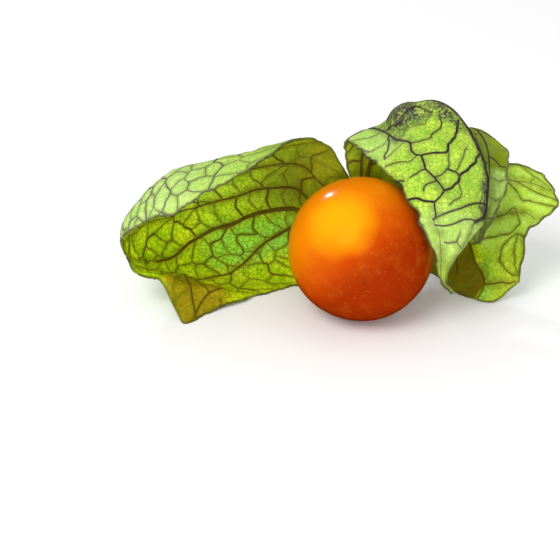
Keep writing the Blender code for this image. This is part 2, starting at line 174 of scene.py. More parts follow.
# %% The hood
HOOD_LOBE = {
    "name": "hood",
    "sector": (112, 55),
    "ribs": (
        (((0, 0.3), (15, 0.26), (19.5, 0.245), (24, 0.285), (25.5, 0.26), (26.5, 0.27), (27, 0.3), (28.2, 0.285),
          (29.1, 0.27), (30.9, 0.31), (32.3, 0.35), (33, 0.31), (33.7, 0.23), (34.5, 0.215), (35.5, 0.22)),
         0.2, 0.13),
        (((0, 0.42), (8, 0.45), (13, 0.5), (15.5, 0.62), (17.5, 0.78), (19.5, 0.92), (22, 0.955), (31, 0.94),
          (33.2, 0.88), (34.2, 0.83), (35.2, 0.76)), 0.3, 0.26),
    ),
    "drawn": (
        (((27, 0.29), (27.1, 0.385), (27.1, 0.44), (26.7, 0.495), (25.6, 0.535), (24.9, 0.58), (24, 0.63),
          (22.3, 0.7), (20, 0.79)), 0.17, 1.0),
        (((26.7, 0.495), (27.9, 0.485), (28.9, 0.46), (29.3, 0.44), (29.9, 0.4), (30.3, 0.36), (30.4, 0.315)),
         0.11, 0.6),
        (((29.3, 0.44), (29.5, 0.465), (29.6, 0.505), (30.1, 0.535)), 0.14, 1.0),
        (((29.6, 0.505), (28.5, 0.56), (27.3, 0.605), (26.3, 0.64), (25, 0.69)), 0.1, 0.5),
        (((23.5, 0.87), (25.1, 0.79), (26.9, 0.72), (28.6, 0.63), (30.1, 0.535), (30.9, 0.51), (31.5, 0.465),
          (32, 0.42), (32.3, 0.36)), 0.18, 1.0),
        (((30.3, 0.535), (31, 0.52), (31.8, 0.53), (32.6, 0.525), (33, 0.505), (33.6, 0.43), (34.1, 0.375)),
         0.1, 0.55),
        (((33.7, 0.23), (33.3, 0.15), (32.4, 0.08), (31.9, 0.0)), 0.17, 1.0),
        (((30.9, 0.31), (31, 0.29), (31.1, 0.22), (31.9, 0.165)), 0.12, 0.8),
        (((29.1, 0.27), (29, 0.235), (29.1, 0.19), (29, 0.13)), 0.12, 0.7),
        (((27.7, 0.02), (28.3, 0.06), (28.8, 0.09)), 0.11, 0.7),
        (((26.5, 0.27), (26.8, 0.25), (26.9, 0.215), (26.2, 0.165), (25, 0.115), (23, 0.04)), 0.11, 0.6),
        (((24.1, 0.285), (24.6, 0.355), (24.7, 0.4), (23.9, 0.455), (23.2, 0.525), (22.3, 0.585), (21, 0.62)),
         0.12, 0.7),
        (((30.3, 0.92), (32.4, 0.73), (33.8, 0.58), (34.6, 0.46), (35.1, 0.34), (35.4, 0.27), (35.8, 0.2)),
         0.13, 0.8),
        (((34.9, 0.78), (35.6, 0.575), (36.1, 0.48), (36.5, 0.4), (36.7, 0.3), (36.5, 0.21)), 0.12, 0.8),
    ),
    "room": 1.5,
    "bulge": (16.6, 0.43, 2.3, 0.9),
    "cell": 3.1,
    "veins": (0.075, 0.17),
    "wave": (0.2, 2.5),
    "stations": (
        ((-2.1, 10.6, 19.6), (4.2, 12.3, 20.9), (10.3, 11.2, 19.7)),
        ((0.3, 5.5, 20.2), (3.7, 7.5, 22.1), (5.7, 8.8, 25.1), (10.1, 8.9, 25.8), (14.8, 7.6, 22.4)),
        ((3.3, 0.8, 19.1), (11.0, 2.8, 23.2), (16.2, 2.5, 17.6)),
        ((5.8, -3.2, 17.2), (11.6, -2.2, 18.0), (15.6, -0.2, 12.9)),
        ((8.2, -5.2, 13.2), (10.9, -5.4, 12.8), (13.4, -2.8, 12.1)),
        ((9.3, -6.1, 9.6), (10.35, -6.25, 9.5), (11.4, -5.8, 9.5)),
        ((9.75, -6.65, 7.9), (10.35, -6.75, 7.85), (10.95, -6.65, 7.9)),
        ((11.1, -7.45, 6.7), (11.35, -7.3, 7.0), (11.5, -7.05, 7.4)),
    ),
}
print("hood:", len(HOOD_LOBE["stations"]), "stations,", len(HOOD_LOBE["drawn"]), "veins drawn")

# %% [markdown]
# ## The right lobes
#
# Beside the hood stands a narrow lobe, bent over at its top, and beyond it a broad one that is folded along its
# strong rib and flares to the right. Their margins are green and cleanly torn, so both are less dark there.

# %% The right lobes
UPPER_RIGHT_LOBE = {
    "name": "upper_right",
    "margin_darkness": 0.1,
    "sector": (55, 15),
    "ribs": (
        (((0, 0.5), (20, 0.45), (33, 0.5)), 0.16, 0.07),
    ),
    "cell": 2.7,
    "veins": (0.05, 0.09),
    "wave": (0.3, 2.0),
    "stations": (
        ((8.9, 12.3, 17.2), (12.0, 12.6, 16.4), (13.3, 12.1, 14.4)),
        ((11.8, 12.6, 20.5), (15.0, 12.3, 21.0), (17.8, 11.1, 19.7)),
        ((13.9, 10.9, 19.8), (17.2, 9.8, 20.1), (19.6, 8.4, 19.3)),
        ((14.6, 7.6, 14.2), (17.6, 6.6, 14.9), (19.4, 5.0, 15.2)),
        ((14.8, 5.0, 10.7), (16.2, 4.5, 10.7), (17.3, 3.5, 11.7)),
        ((15.2, 3.0, 8.4), (15.5, 2.8, 8.4), (15.8, 2.6, 8.6)),
    ),
}
RIGHT_LOBE = {
    "name": "right",
    "margin_darkness": 0.5,
    "nicks": 0.45,
    "sector": (15, -48),
    "ribs": (
        (((0, 0.25), (12, 0.2), (18, 0.12), (20.7, 0.14)), 0.12, 0.08),
        (((0, 0.5), (12, 0.44), (18, 0.4), (19, 0.4)), 0.13, 0.08),
        (((0, 0.66), (8, 0.6), (14, 0.55), (15, 0.625), (16.3, 0.73), (17.4, 0.79), (18.6, 0.84), (19.6, 0.9),
          (22.3, 0.9), (24, 0.95)), 0.24, 0.1),
    ),
    "drawn": (
        (((20.7, 0.14), (22, 0.2), (23, 0.215), (25.4, 0.2)), 0.08, 0.6),
        (((19.2, 0.13), (20.2, 0.21), (20.8, 0.28), (21.7, 0.29), (23, 0.285), (25.4, 0.255)), 0.08, 0.6),
        (((19, 0.4), (20.1, 0.355), (21, 0.41), (22.3, 0.5)), 0.08, 0.6),
        (((14.8, 0.6), (16.8, 0.55), (18.3, 0.55), (20, 0.565), (21.2, 0.565), (22.3, 0.5)), 0.08, 0.7),
        (((25.2, 0.53), (22.5, 0.575), (20.9, 0.62), (20, 0.68), (20.2, 0.745), (21.3, 0.81), (25, 0.93)),
         0.08, 0.7),
        (((22.5, 0.575), (22.1, 0.7), (22.8, 0.78), (25, 0.93)), 0.07, 0.5),
        (((12.8, 0.62), (13.1, 0.66), (13.8, 0.77), (14.8, 0.87)), 0.12, 1.0),
        (((15.1, 0.81), (16.2, 0.79), (17.4, 0.79)), 0.08, 0.8),
        (((19.6, 0.9), (19.7, 0.945), (19.6, 0.99)), 0.1, 0.9),
    ),
    "cell": 4.2,
    "veins": (0.045, 0.09),
    "wave": (0.35, 2.5),
    "stations": (
        ((12.6, 12.9, 11.4), (12.6, 11.6, 6.8), (9.5, 9.0, 1.6)),
        ((17.0, 11.4, 16.2), (18.0, 9.8, 9.4), (14.0, 4.2, 0.5)),
        ((21.4, 9.6, 17.1), (23.2, 8.2, 13.0), (21.3, 6.4, 9.8), (20.6, 5.4, 5.6), (17.9, 2.4, 0.3)),
        ((24.7, 7.8, 16.2), (26.3, 6.2, 12.7), (22.2, 3.9, 9.6), (22.1, 3.5, 6.0), (21.4, 3.0, 2.8)),
    ),
}
print("right lobe:", len(RIGHT_LOBE["stations"]), "stations,", len(RIGHT_LOBE["drawn"]), "veins drawn")

# %% [markdown]
# ## The edge under the berry, and the tears
#
# Under the berry the husk ends in a short torn edge. Then the tears between the lobes are listed, each with the
# ring of the cup where it stops, because inside that ring the husk is still whole.

# %% The edge under the berry, and the tears
UNDER_LOBE = {
    "name": "under",
    "sector": (-48, -104),
    "ribs": (
        (((0, 0.25), (8, 0.25)), 0.16, 0.08),
        (((0, 0.75), (8, 0.75)), 0.16, 0.08),
    ),
    "cell": 3.0,
    "veins": (0.06, 0.12),
    "wave": (0.0, 1.0),
    "stations": (
        ((6.6, 8.4, 2.7), (0.9, 9.2, 0.9), (-2.2, 9.3, 1.5)),
    ),
}
LOBES = (LEFT_LOBE, HOOD_LOBE, UPPER_RIGHT_LOBE, RIGHT_LOBE, UNDER_LOBE)

# A lobe and its margin, its neighbour and that one's margin, and the ring where the tear between them ends.
TEARS = (
    ("left", 0, "hood", 0, 2),
    ("hood", -1, "upper_right", 0, 3),
    ("upper_right", -1, "right", 0, 3),
    ("right", -1, "under", 0, 3),
    ("under", -1, "left", -1, 3),
)
print("lobes:", ", ".join(lobe["name"] for lobe in LOBES))

# %% [markdown]
# ## Reading the plan
#
# These helpers turn the stations into a surface. A smooth line through the stations could overshoot where a
# long step follows a short one, so each slope is weighed by how far its neighbours are. That is the
# centripetal form of the well-known Catmull-Rom curve.

# %% Lines on the base cup
def base_axes():
    """The base cup's axis, away from the berry, and its right and up directions."""
    axis = unit(BASE_CENTRE - BERRY_CENTRE)
    right = unit(np.array([1.0, 0.0, 0.0]) - axis * axis[0])
    return axis, right, np.cross(right, axis)


def ring_line(ring, sector, shares):
    """Points of a lobe's sector on one ring of the base cup."""
    radius, depth = BASE_RINGS[ring]
    axis, right, up = base_axes()
    first, last = sector
    if ring == len(BASE_RINGS) - 1 and first == LEFT_LOBE["sector"][0]:
        first += math.copysign(TEAR_OPENING / 2, last - first)
    turn = np.radians(first + (last - first) * shares)[:, None]
    return BASE_CENTRE - axis * depth + radius * (np.cos(turn) * right + np.sin(turn) * up)


print("the cup's axis points to", np.round(base_axes()[0], 2))


# %% Lines across a lobe
def arc_line(ends_and_middle, shares):
    """Points at shares of the way along the circular arc through three points."""
    first, middle, last = (np.asarray(point, float) for point in ends_and_middle)
    chord, rise = last - first, middle - first
    normal = np.cross(chord, rise)
    centre = first + (
        np.dot(rise, rise) * np.cross(normal, chord) + np.dot(chord, chord) * np.cross(rise, normal)
    ) / (2 * np.dot(normal, normal))
    radius = np.linalg.norm(first - centre)
    across = (first - centre) / radius
    along = np.cross(unit(normal), across)

    def turn_of(point):
        return math.atan2(np.dot(point - centre, along), np.dot(point - centre, across)) % (2 * math.pi)

    whole = turn_of(last)
    if turn_of(middle) > whole:
        along, whole = -along, 2 * math.pi - whole
    turn = (whole * shares)[:, None]
    return centre + radius * (np.cos(turn) * across + np.sin(turn) * along)


def smooth_line(points, places):
    """A curve through points, read at places counted in points from the first."""
    points = np.asarray(points, float)
    gaps = np.sqrt(np.maximum(np.linalg.norm(np.diff(points, axis=0), axis=-1, keepdims=True), 1e-6))
    steps = np.diff(points, axis=0) / gaps
    slopes = np.concatenate([steps[:1], steps[:-1] + steps[1:], steps[-1:]])
    slopes[1:-1] -= (points[2:] - points[:-2]) / (gaps[:-1] + gaps[1:])
    start = np.minimum(np.floor(places).astype(int), len(points) - 2)
    part = (places - start).reshape((-1,) + (1,) * (points.ndim - 1))
    ease = part * part * (3 - 2 * part)
    leaving = gaps[start] * slopes[start] * part * (1 - part) ** 2
    arriving = gaps[start] * slopes[start + 1] * part**2 * (1 - part)
    return points[start] * (1 - ease) + points[start + 1] * ease + leaving - arriving


def station_line(points, shares):
    """One station of a lobe, read at shares of the way across."""
    if len(points) == 3:
        return arc_line(points, shares)
    return smooth_line(points, shares * (len(points) - 1))


tip = station_line(HOOD_LOBE["stations"][-1], np.linspace(0, 1, 5))
print(f"the hood's tip is {np.linalg.norm(np.diff(tip, axis=0), axis=1).sum():.1f} mm across")

# %% [markdown]
# ## The husk's fine grid
#
# Leaf tissue bends on a scale of a few tenths of a millimetre, so the sheet is read at steps of about a
# quarter of a millimetre both ways. Rows are spaced evenly along a lobe, after a fixed number of rows on the
# base cup, so that neighbouring lobes meet point for point where they are still one sheet. The left lobe also
# has a hem, the pointed flap that bends forward under its lowest rib.

# %% The husk's fine grid
STEP = 0.26  # mm between rows and between columns
BASE_ROWS = 27
HEM_COLUMNS = 18
SHEET_THICKNESS = 0.2


def lobe_lines(lobe, shares):
    """Every line across a lobe: its sectors of the base rings, then its stations."""
    lines = [ring_line(ring, lobe["sector"], shares) for ring in range(len(BASE_RINGS))]
    return np.array(lines + [station_line(points, shares) for points in lobe["stations"]])


def with_hem(lobe, lines, shares):
    """Adds the columns of a lobe's hem beyond its last margin, where shares run on from 1 to 2."""
    steps = np.arange(1, HEM_COLUMNS + 1) / HEM_COLUMNS
    turn = (lobe["hem_turn"], lobe["hem_turn"])
    ends = [ring_line(ring, turn, np.zeros(1))[0] for ring in range(len(BASE_RINGS))]
    ends = np.array(ends + [np.array(end, float) for end in lobe["hem_ends"]])
    hem = lines[:, -1:, :] + (ends - lines[:, -1])[:, None, :] * steps[None, :, None]
    return np.concatenate([lines, hem], axis=1), np.concatenate([shares, 1 + steps])


def row_places(lines):
    """Where the rows lie: fixed on the base cup, then about one step apart along the lobe's longest line."""
    last_ring = len(BASE_RINGS) - 1
    trial = np.linspace(last_ring, len(lines) - 1, 400)
    gaps = np.linalg.norm(np.diff(smooth_line(lines, trial), axis=0), axis=2)
    length = np.concatenate([[0], np.cumsum(np.percentile(gaps, 75, axis=1))])
    rows = max(int(length[-1] / STEP), 4)
    outer = np.interp(np.linspace(0, length[-1], rows + 1)[1:], length, trial)
    return np.concatenate([np.linspace(0, last_ring, BASE_ROWS + 1), outer])


def surface_normals(grid):
    """Normals of a grid of points, from the lines along it and across it."""
    return unit(np.cross(np.gradient(grid, axis=0), np.gradient(grid, axis=1)) + 1e-12)


def waved(lobe, grid, shares, places):
    """The grid with its margins waved, from nothing at the base cup to the full depth towards the tip."""
    depth, waves = lobe["wave"]
    last_ring = len(BASE_RINGS) - 1
    grown = np.clip((places - last_ring) / 2, 0, 1) * np.clip((places[-1] - places) / 2, 0, 1)
    margin = np.abs(2 * np.clip(shares, 0, 1) - 1) ** 2
    swing = np.sin(2 * math.pi * waves * (places - last_ring) / max(places[-1] - last_ring, 1))
    shift = depth * grown[:, None] * margin[None, :] * swing[:, None]
    return grid + surface_normals(grid) * shift[..., None]


def lobe_grid(lobe):
    """A lobe's middle surface as rows and columns of points, with the shares and lengths that place them."""
    coarse = lobe_lines(lobe, np.linspace(0, 1, 40))
    width = np.linalg.norm(np.diff(coarse, axis=1), axis=2).sum(axis=1)
    shares = np.linspace(0, 1, int(np.percentile(width, 80) / STEP) + 1)
    lines = lobe_lines(lobe, shares)
    if "hem_ends" in lobe:
        lines, shares = with_hem(lobe, lines, shares)
    places = row_places(lines)
    grid = waved(lobe, smooth_line(lines, places), shares, places)
    middle = grid[:, len(shares) // 2]
    length = np.concatenate([[0], np.cumsum(np.linalg.norm(np.diff(middle, axis=0), axis=1))])
    return {"lobe": lobe, "grid": grid, "shares": shares, "length": length}


SHEETS = {lobe["name"]: lobe_grid(lobe) for lobe in LOBES}
for name, sheet in SHEETS.items():
    rows, columns = sheet["grid"].shape[:2]
    print(f"{name}: {rows} x {columns} points, {sheet['length'][-1]:.0f} mm long")

# %% [markdown]
# ## Torn margins, and one sheet again
#
# The lobes of a husk part along straight tears, but dry tissue never tears clean: the margin is nicked by a
# few tenths of a millimetre, and in places a tab of tissue stands out. The nicks are made by pulling the
# outermost columns inward by smooth noise of three sizes. Then neighbouring margins are brought together on
# the base cup, and the points that meet there become one point, so that the husk is a single sheet before it
# is given a thickness.

# %% Torn margins
NICK_DEPTH = 0.65
NICK_WIDTH = 1.3
NICK_NOISES = ((2.2, 0.9, 0), (0.8, 0.45, 5), (0.4, 0.3, 9))  # each one's size in mm, weight and seed
FRAY_ROWS = 14  # rows beyond the base cup over which the nicks grow to their depth
TAB_WIDTH = 4.5
# Each tab's middle and half-length in mm along its lobe, and how far it stands out.
TABS = {"left": ((27.0, 2.6, 1.3), (16.0, 1.8, 1.1)), "hood": ((36.2, 0.7, 0.9),)}
CLEAR_OF_BERRY = BERRY_RADIUS + 0.875
SETTLE = 0.22  # thin tissue lies this much lower than the middle of the thick solid where it meets the surface


def margin_falloff(grid, margin, width=NICK_WIDTH):
    """For each point, 1 on the margin, falling to 0 a nick's width inside it."""
    gaps = np.linalg.norm(np.diff(grid, axis=1), axis=2)
    inward = np.concatenate([np.zeros((len(grid), 1)), np.cumsum(gaps, axis=1)], axis=1)
    distance = inward if margin == 0 else inward[:, -1:] - inward
    return np.clip(1 - distance / width, 0, 1)


def frayed(sheet, seed):
    """Pulls both margins and the tip inward by uneven nicks, leaving the base cup as it is."""
    grid = sheet["grid"]
    for middle, half_length, reach in TABS.get(sheet["lobe"]["name"], ()):
        bulge = reach * np.exp(-(((sheet["length"] - middle) / half_length) ** 2))
        outward = unit(grid[:, 0] - grid[:, 6]) * bulge[:, None]
        grid += outward[:, None, :] * margin_falloff(grid, 0, TAB_WIDTH)[..., None]
    grown = smoothstep(BASE_ROWS, BASE_ROWS + FRAY_ROWS, np.arange(len(grid)))
    for margin, toward in ((0, 8), (-1, -9)):
        away = unit(grid[:, toward] - grid[:, margin])
        uneven = sum((weight * ripple(grid[:, margin], size, seed + margin + own)
                      for size, weight, own in NICK_NOISES), 0.35)
        depth = NICK_DEPTH * sheet["lobe"].get("nicks", 1.0) * grown * np.clip(uneven, 0, 1)
        grid += (away * depth[:, None])[:, None, :] * margin_falloff(grid, margin)[..., None]
    tip_depth = NICK_DEPTH * np.clip(0.3 + ripple(grid[-1], 1.4, seed + 11), 0, 1)
    back = unit(grid[-5] - grid[-1]) * tip_depth[:, None]
    for step in range(4):
        grid[-1 - step] += back * (1 - step / 4)
    return grid


def settled(grid):
    """Keeps the sheet clear of the berry, and lets it down on the surface it lies on."""
    away = grid - BERRY_CENTRE
    distance = np.linalg.norm(away, axis=-1, keepdims=True)
    grid = BERRY_CENTRE + away * np.maximum(distance, CLEAR_OF_BERRY) / distance
    grid[..., 2] -= SETTLE * np.exp(-np.maximum(grid[..., 2], 0) / 0.8)
    grid[..., 2] = np.maximum(grid[..., 2], SHEET_THICKNESS / 2 + 0.02)
    return grid


for number, sheet in enumerate(SHEETS.values()):
    sheet["grid"] = settled(frayed(sheet, 20 * number))
print(f"nicks are up to {NICK_DEPTH} mm deep")

# %% Margins meet on the base cup
for name, margin, other, other_margin, ring in TEARS:
    rows = slice(0, ring * BASE_ROWS // (len(BASE_RINGS) - 1) + 1)
    pair = ((SHEETS[name]["grid"], margin), (SHEETS[other]["grid"], other_margin))
    shared = (pair[0][0][rows, pair[0][1]] + pair[1][0][rows, pair[1][1]]) / 2
    for grid, column in pair:
        pull = (shared - grid[rows, column])[:, None, :] * margin_falloff(grid[rows], column)[..., None]
        grid[rows] += pull
        grid[rows, column] = shared
print("lobes joined on the base cup:", len(TEARS))

# %% One sheet again
SAME_SPOT = 0.002  # mm within which points count as one


def merged_points(sheets):
    """All the lobes' points as one list, where points that meet are one, and each lobe's index into it."""
    every = np.concatenate([sheet["grid"].reshape(-1, 3) for sheet in sheets.values()])
    spots = np.round(every / SAME_SPOT).astype(int)
    _, first, number = np.unique(spots, axis=0, return_index=True, return_inverse=True)
    number = number.reshape(-1)
    start = 0
    for sheet in sheets.values():
        shape = sheet["grid"].shape[:2]
        sheet["index"] = number[start:start + shape[0] * shape[1]].reshape(shape)
        start += shape[0] * shape[1]
    return every[first]


def sheet_quads(sheets):
    """The sheet's quads, all with their fronts on the outside of the husk."""
    quads = []
    for sheet in sheets.values():
        index = sheet["index"]
        corners = [index[:-1, :-1], index[:-1, 1:], index[1:, 1:], index[1:, :-1]]
        first, last = sheet["lobe"]["sector"]
        if last < first:
            corners.reverse()
        quads.append(np.stack([corner.ravel() for corner in corners], axis=1))
    quads = np.concatenate(quads)
    whole = [len(set(quad)) == 4 for quad in quads.tolist()]
    return quads[np.array(whole)]


def point_normals(points, quads):
    """The normal at each point, averaged over the quads round it by their area."""
    diagonals = points[quads[:, 2]] - points[quads[:, 0]], points[quads[:, 3]] - points[quads[:, 1]]
    face = np.cross(*diagonals)
    normals = np.zeros_like(points)
    for corner in range(4):
        np.add.at(normals, quads[:, corner], face)
    return unit(normals)


points = merged_points(SHEETS)
quads = sheet_quads(SHEETS)
normals = point_normals(points, quads)
on_base = SHEETS["left"]["index"][2:10].ravel()
if np.mean(normals[on_base] @ base_axes()[0]) < 0:
    quads = quads[:, ::-1]
    normals = -normals
print(f"one sheet of {len(points)} points and {len(quads)} quads")

# %% [markdown]
# ## Measuring on a lobe
#
# A calyx is a leaf in all but name, and its veins are its skeleton. They are laid out in a lobe's own measures,
# mm along it and either mm or a share across it, and only then read off the bent sheet, so that a vein keeps
# its shape wherever the sheet turns. A border is what bounds a panel of the net, a rib or a margin.

# %% Measuring on a lobe
RIB_WANDER = 0.12  # how far a rib strays from its course, in mm
LOW_MARGIN, HIGH_MARGIN, HEM_MARGIN = ((0, 0.0),), ((0, 1.0),), ((0, 2.0),)


def measured_across(sheet):
    """How far each grid point lies across its lobe, in mm from the middle."""
    gaps = np.linalg.norm(np.diff(sheet["grid"], axis=1), axis=2)
    across = np.concatenate([np.zeros((len(gaps), 1)), np.cumsum(gaps, axis=1)], axis=1)
    middle = np.searchsorted(sheet["shares"], 0.5)
    return across - across[:, middle:middle + 1]


def read_grid(sheet, grid, share, along):
    """Values of a lobe's grid, read between its points at shares across and mm along."""
    column = np.interp(share, sheet["shares"], np.arange(len(sheet["shares"])))
    row = np.interp(along, sheet["length"], np.arange(len(sheet["length"])))
    left = np.minimum(column.astype(int), len(sheet["shares"]) - 2)
    low = np.minimum(row.astype(int), len(sheet["length"]) - 2)
    shape = (-1,) + (1,) * (grid.ndim - 2)
    right_part, high_part = (column - left).reshape(shape), (row - low).reshape(shape)
    near = grid[low, left] * (1 - right_part) + grid[low, left + 1] * right_part
    far = grid[low + 1, left] * (1 - right_part) + grid[low + 1, left + 1] * right_part
    return near * (1 - high_part) + far * high_part


def share_at(sheet, across, along):
    """The shares that lie so many mm across a lobe."""
    rows = np.rint(np.interp(along, sheet["length"], np.arange(len(sheet["length"])))).astype(int)
    return np.array([np.interp(side, sheet["across"][row], sheet["shares"]) for side, row in zip(across, rows)])


def border_share(border, along):
    """The share at which a border runs, at each length along its lobe. Ribs wander a little, margins don't."""
    share = np.interp(along, *np.array(border, float).T)
    if len(border) == 1:
        return share
    course = np.stack([along, np.full_like(along, border[0][1] * 37), np.zeros_like(along)], axis=1)
    strayed = share + RIB_WANDER / 12 * smoothstep(3, 9, along) * ripple(course, 3.5, 3)
    return np.where(share >= 1, share, np.clip(strayed, 0, 1))


for sheet in SHEETS.values():
    sheet["across"] = measured_across(sheet)
print("the left lobe is", round(np.ptp(SHEETS["left"]["across"], axis=1).max()), "mm across at its widest")

# %% [markdown]
# ## The net's cells
#
# Between the ribs the lesser veins join into a net of uneven cells some 3 to 4 mm across. Each panel between
# two ribs is filled with scattered cell centres. The walls between neighbouring cells, a Voronoi pattern, are
# the veins. The centres are mirrored in the ribs, so that the veins meet the ribs squarely.


# %% The net's cells
def cell_centres(sheet, low, high, chance):
    """Scattered centres of a panel's cells, in staggered rows, with their mirror images beyond its borders."""
    cell = sheet["lobe"]["cell"]
    along = np.arange(-cell, sheet["length"][-1] + cell, cell * 0.86)
    sides = [read_grid(sheet, sheet["across"], border_share(border, along), along) for border in (low, high)]
    centres = []
    for row, (left, right, middle) in enumerate(zip(*sides, along)):
        count = max(1, round((right - left) / cell)) if right - left > 0.5 * cell else 0
        for place in range(count):
            stagger = (0.25 if row % 2 else -0.25) if count > 1 else 0.0
            side = left + (place + 0.5 + stagger + chance.uniform(-0.24, 0.24)) * (right - left) / count
            length = middle + chance.uniform(-0.32, 0.32) * cell
            centres += [(side, length), (2 * left - side, length), (2 * right - side, length)]
    return centres


def cell_walls(centres):
    """The walls between neighbouring cells, as pairs of points, from the triangles between their centres."""
    corners, _, triangles = delaunay_2d_cdt([Vector(centre) for centre in centres], [], [], 0, 1e-5)[:3]
    middles, sides = [], {}
    for number, (a, b, c) in enumerate(triangles):
        ab, ac = corners[b] - corners[a], corners[c] - corners[a]
        twice = 2 * (ab.x * ac.y - ab.y * ac.x)
        squares = ab.length_squared, ac.length_squared
        offset = Vector((ac.y * squares[0] - ab.y * squares[1], ab.x * squares[1] - ac.x * squares[0])) / twice
        middles.append(np.array(corners[a] + offset))
        for side in ((a, b), (b, c), (c, a)):
            sides.setdefault(frozenset(side), []).append(number)
    return [(middles[pair[0]], middles[pair[1]]) for pair in sides.values() if len(pair) == 2]


trial = cell_walls(cell_centres(SHEETS["left"], LOW_MARGIN, HIGH_MARGIN, random.Random(0)))
print("a net over the whole left lobe would have", len(trial), "walls")

# %% [markdown]
# ## Branches
#
# Sap takes the short way, so the walls on the shortest ways from rib to rib are thickened into branches. The
# way is found as a route planner finds it, always going on from the place that is nearest so far.

# %% Branches
BRANCH_SPACING = 5.5


def longest_run(keep):
    """The longest unbroken stretch of places to keep, as a slice."""
    edges = np.flatnonzero(np.diff(np.concatenate([[0], keep.astype(int), [0]])))
    runs = edges.reshape(-1, 2)
    if len(runs) == 0:
        return slice(0, 0)
    start, end = max(runs.tolist(), key=lambda run: run[1] - run[0])
    return slice(start, end)


def shortest_way(walls, start, end):
    """The numbers of the walls that lead from one place to another by the shortest way."""
    near = {}
    for number, wall in enumerate(walls):
        here, there = (tuple(np.round(point, 2)) for point in wall)
        near.setdefault(here, []).append((there, number))
        near.setdefault(there, []).append((here, number))
    first, last = (min(near, key=lambda place: math.dist(place, target)) for target in (start, end))
    done, queue = {}, [(0.0, first, -1, first)]
    while queue and last not in done:
        travelled, place, came_by, came_from = heapq.heappop(queue)
        if place not in done:
            done[place] = came_from, came_by
            for there, number in near[place]:
                heapq.heappush(queue, (travelled + math.dist(place, there), there, number, place))
    way = []
    while last in done and last != first:
        last, number = done[last]
        way.append(number)
    return way


def branch_strengths(sheet, low, high, walls, chance):
    """How strong each wall of a panel is: faint at random, and strong on the short ways from rib to rib."""
    strengths = [0.35 * chance.random() ** 1.5 for _ in walls]
    if len(low) == 1 and len(high) == 1:
        return strengths
    for along in np.arange(7.0, sheet["length"][-1] - 2, BRANCH_SPACING):
        from_low = len(high) == 1 or (len(low) > 1 and chance.random() < 0.5)
        source, target = (low, high) if from_low else (high, low)
        ends = []
        for border, length in ((source, along), (target, along + chance.uniform(2.0, 5.0))):
            place = np.array([length])
            ends.append((read_grid(sheet, sheet["across"], border_share(border, place), place)[0], length))
        way = shortest_way(walls, ends[1], ends[0])
        for step_number, wall in enumerate(way):
            strengths[wall] = max(strengths[wall], 0.95 - 0.45 * step_number / max(len(way) - 1, 1))
    return strengths


print("a branch sets out every", BRANCH_SPACING, "mm along a panel")

# %% [markdown]
# ## A panel of the net
#
# Each wall becomes a vein that wanders a little. The pattern is pushed forward between ribs, because side veins
# leave a rib leaning towards its tip, and whatever lies outside the panel is dropped.

# %% A panel of the net
VEIN_STEP = 0.28
VEIN_WANDER = 0.4
LEAN = 0.4


def vein_route(sheet, low, high, wall, strength, seed):
    """A lesser vein along one wall: its shares, lengths, half-widths and darkness, or None outside the panel."""
    length = sheet["length"][-1]
    steps = int(min(np.linalg.norm(wall[1] - wall[0]), 4 * sheet["lobe"]["cell"]) / VEIN_STEP) + 3
    course = wall[0] + (wall[1] - wall[0]) * np.linspace(0, 1, steps)[:, None]
    flat = np.column_stack([course, np.full(len(course), seed * 11.0)])
    side, along = (course + VEIN_WANDER * np.stack([ripple(flat, 1.6, 1), ripple(flat, 1.6, 2)], axis=1)).T
    left, right = (read_grid(sheet, sheet["across"], border_share(border, along), along)
                   for border in (low, high))
    inside = np.minimum(side - left, right - side)
    run = longest_run((inside > -0.1) & (along > 0.4) & (along < length - 0.1))
    if run.stop - run.start < 3 or inside[run].max() < 0.3:
        return None
    along = along + LEAN * np.clip(inside, 0, 2.5)
    fine, strong = sheet["lobe"]["veins"]
    count = run.stop - run.start
    half_width = np.full(count, fine + (strong - fine) * strength)
    return share_at(sheet, side, along)[run], along[run], half_width, np.full(count, strength)


def panel_veins(sheet, low, high, seed):
    """The lesser veins between two borders."""
    chance = random.Random(seed)
    centres = cell_centres(sheet, low, high, chance)
    if len(centres) < 6:
        return []
    walls = cell_walls(centres)
    strengths = branch_strengths(sheet, low, high, walls, chance)
    routes = [vein_route(sheet, low, high, wall, strength, seed) for wall, strength in zip(walls, strengths)]
    return [route for route in routes if route]


trial = panel_veins(SHEETS["left"], LOW_MARGIN, HIGH_MARGIN, 0)
print("a trial panel as wide as the left lobe has", len(trial), "veins")

# %% [markdown]
# ## Ribs, drawn veins and margins
#
# A rib runs from the stalk and narrows as it goes. Where it ends, a faint vein carries on to the tip, because a
# vein in a leaf doesn't just stop. A torn margin dries to a thin line, mostly a dark one, so margins are laid
# out as veins too.

# %% Ribs, drawn veins and margins
RIB_TAIL = 0.06  # half the width of the faint vein that runs on from a rib's end
MARGIN_HALF_WIDTH = 0.075
MARGIN_DARKNESS = 0.75
TIP_PLACES = 40  # along the torn edge at a lobe's end


def rib_route(sheet, course, start, end):
    """A rib's route from the stalk, narrowing as it goes, and then a faint vein as far as the lobe's tip."""
    tip = sheet["length"][-1] * 0.985
    last = min(course[-1][0], tip - 0.5)
    along = np.arange(0.1, tip, VEIN_STEP)
    half_width = np.interp(along, [0, last, last + 0.5, tip], [start, end, RIB_TAIL, RIB_TAIL])
    darkness = np.interp(along, [last, last + 1, tip], [1.0, 0.4, 0.3])
    return border_share(course, along), along, half_width, darkness


def drawn_route(course, half_width, darkness):
    """A vein drawn through a few places, each given as mm along and share."""
    along, share = smooth_line(course, np.linspace(0, len(course) - 1, 10 * len(course))).T
    course = np.stack([along, share * 12, np.zeros(len(share))], axis=1)
    share = np.clip(share + 0.012 * ripple(course, 1.1, 7), 0, 2)
    return share, along, np.full(len(share), half_width), np.full(len(share), darkness)


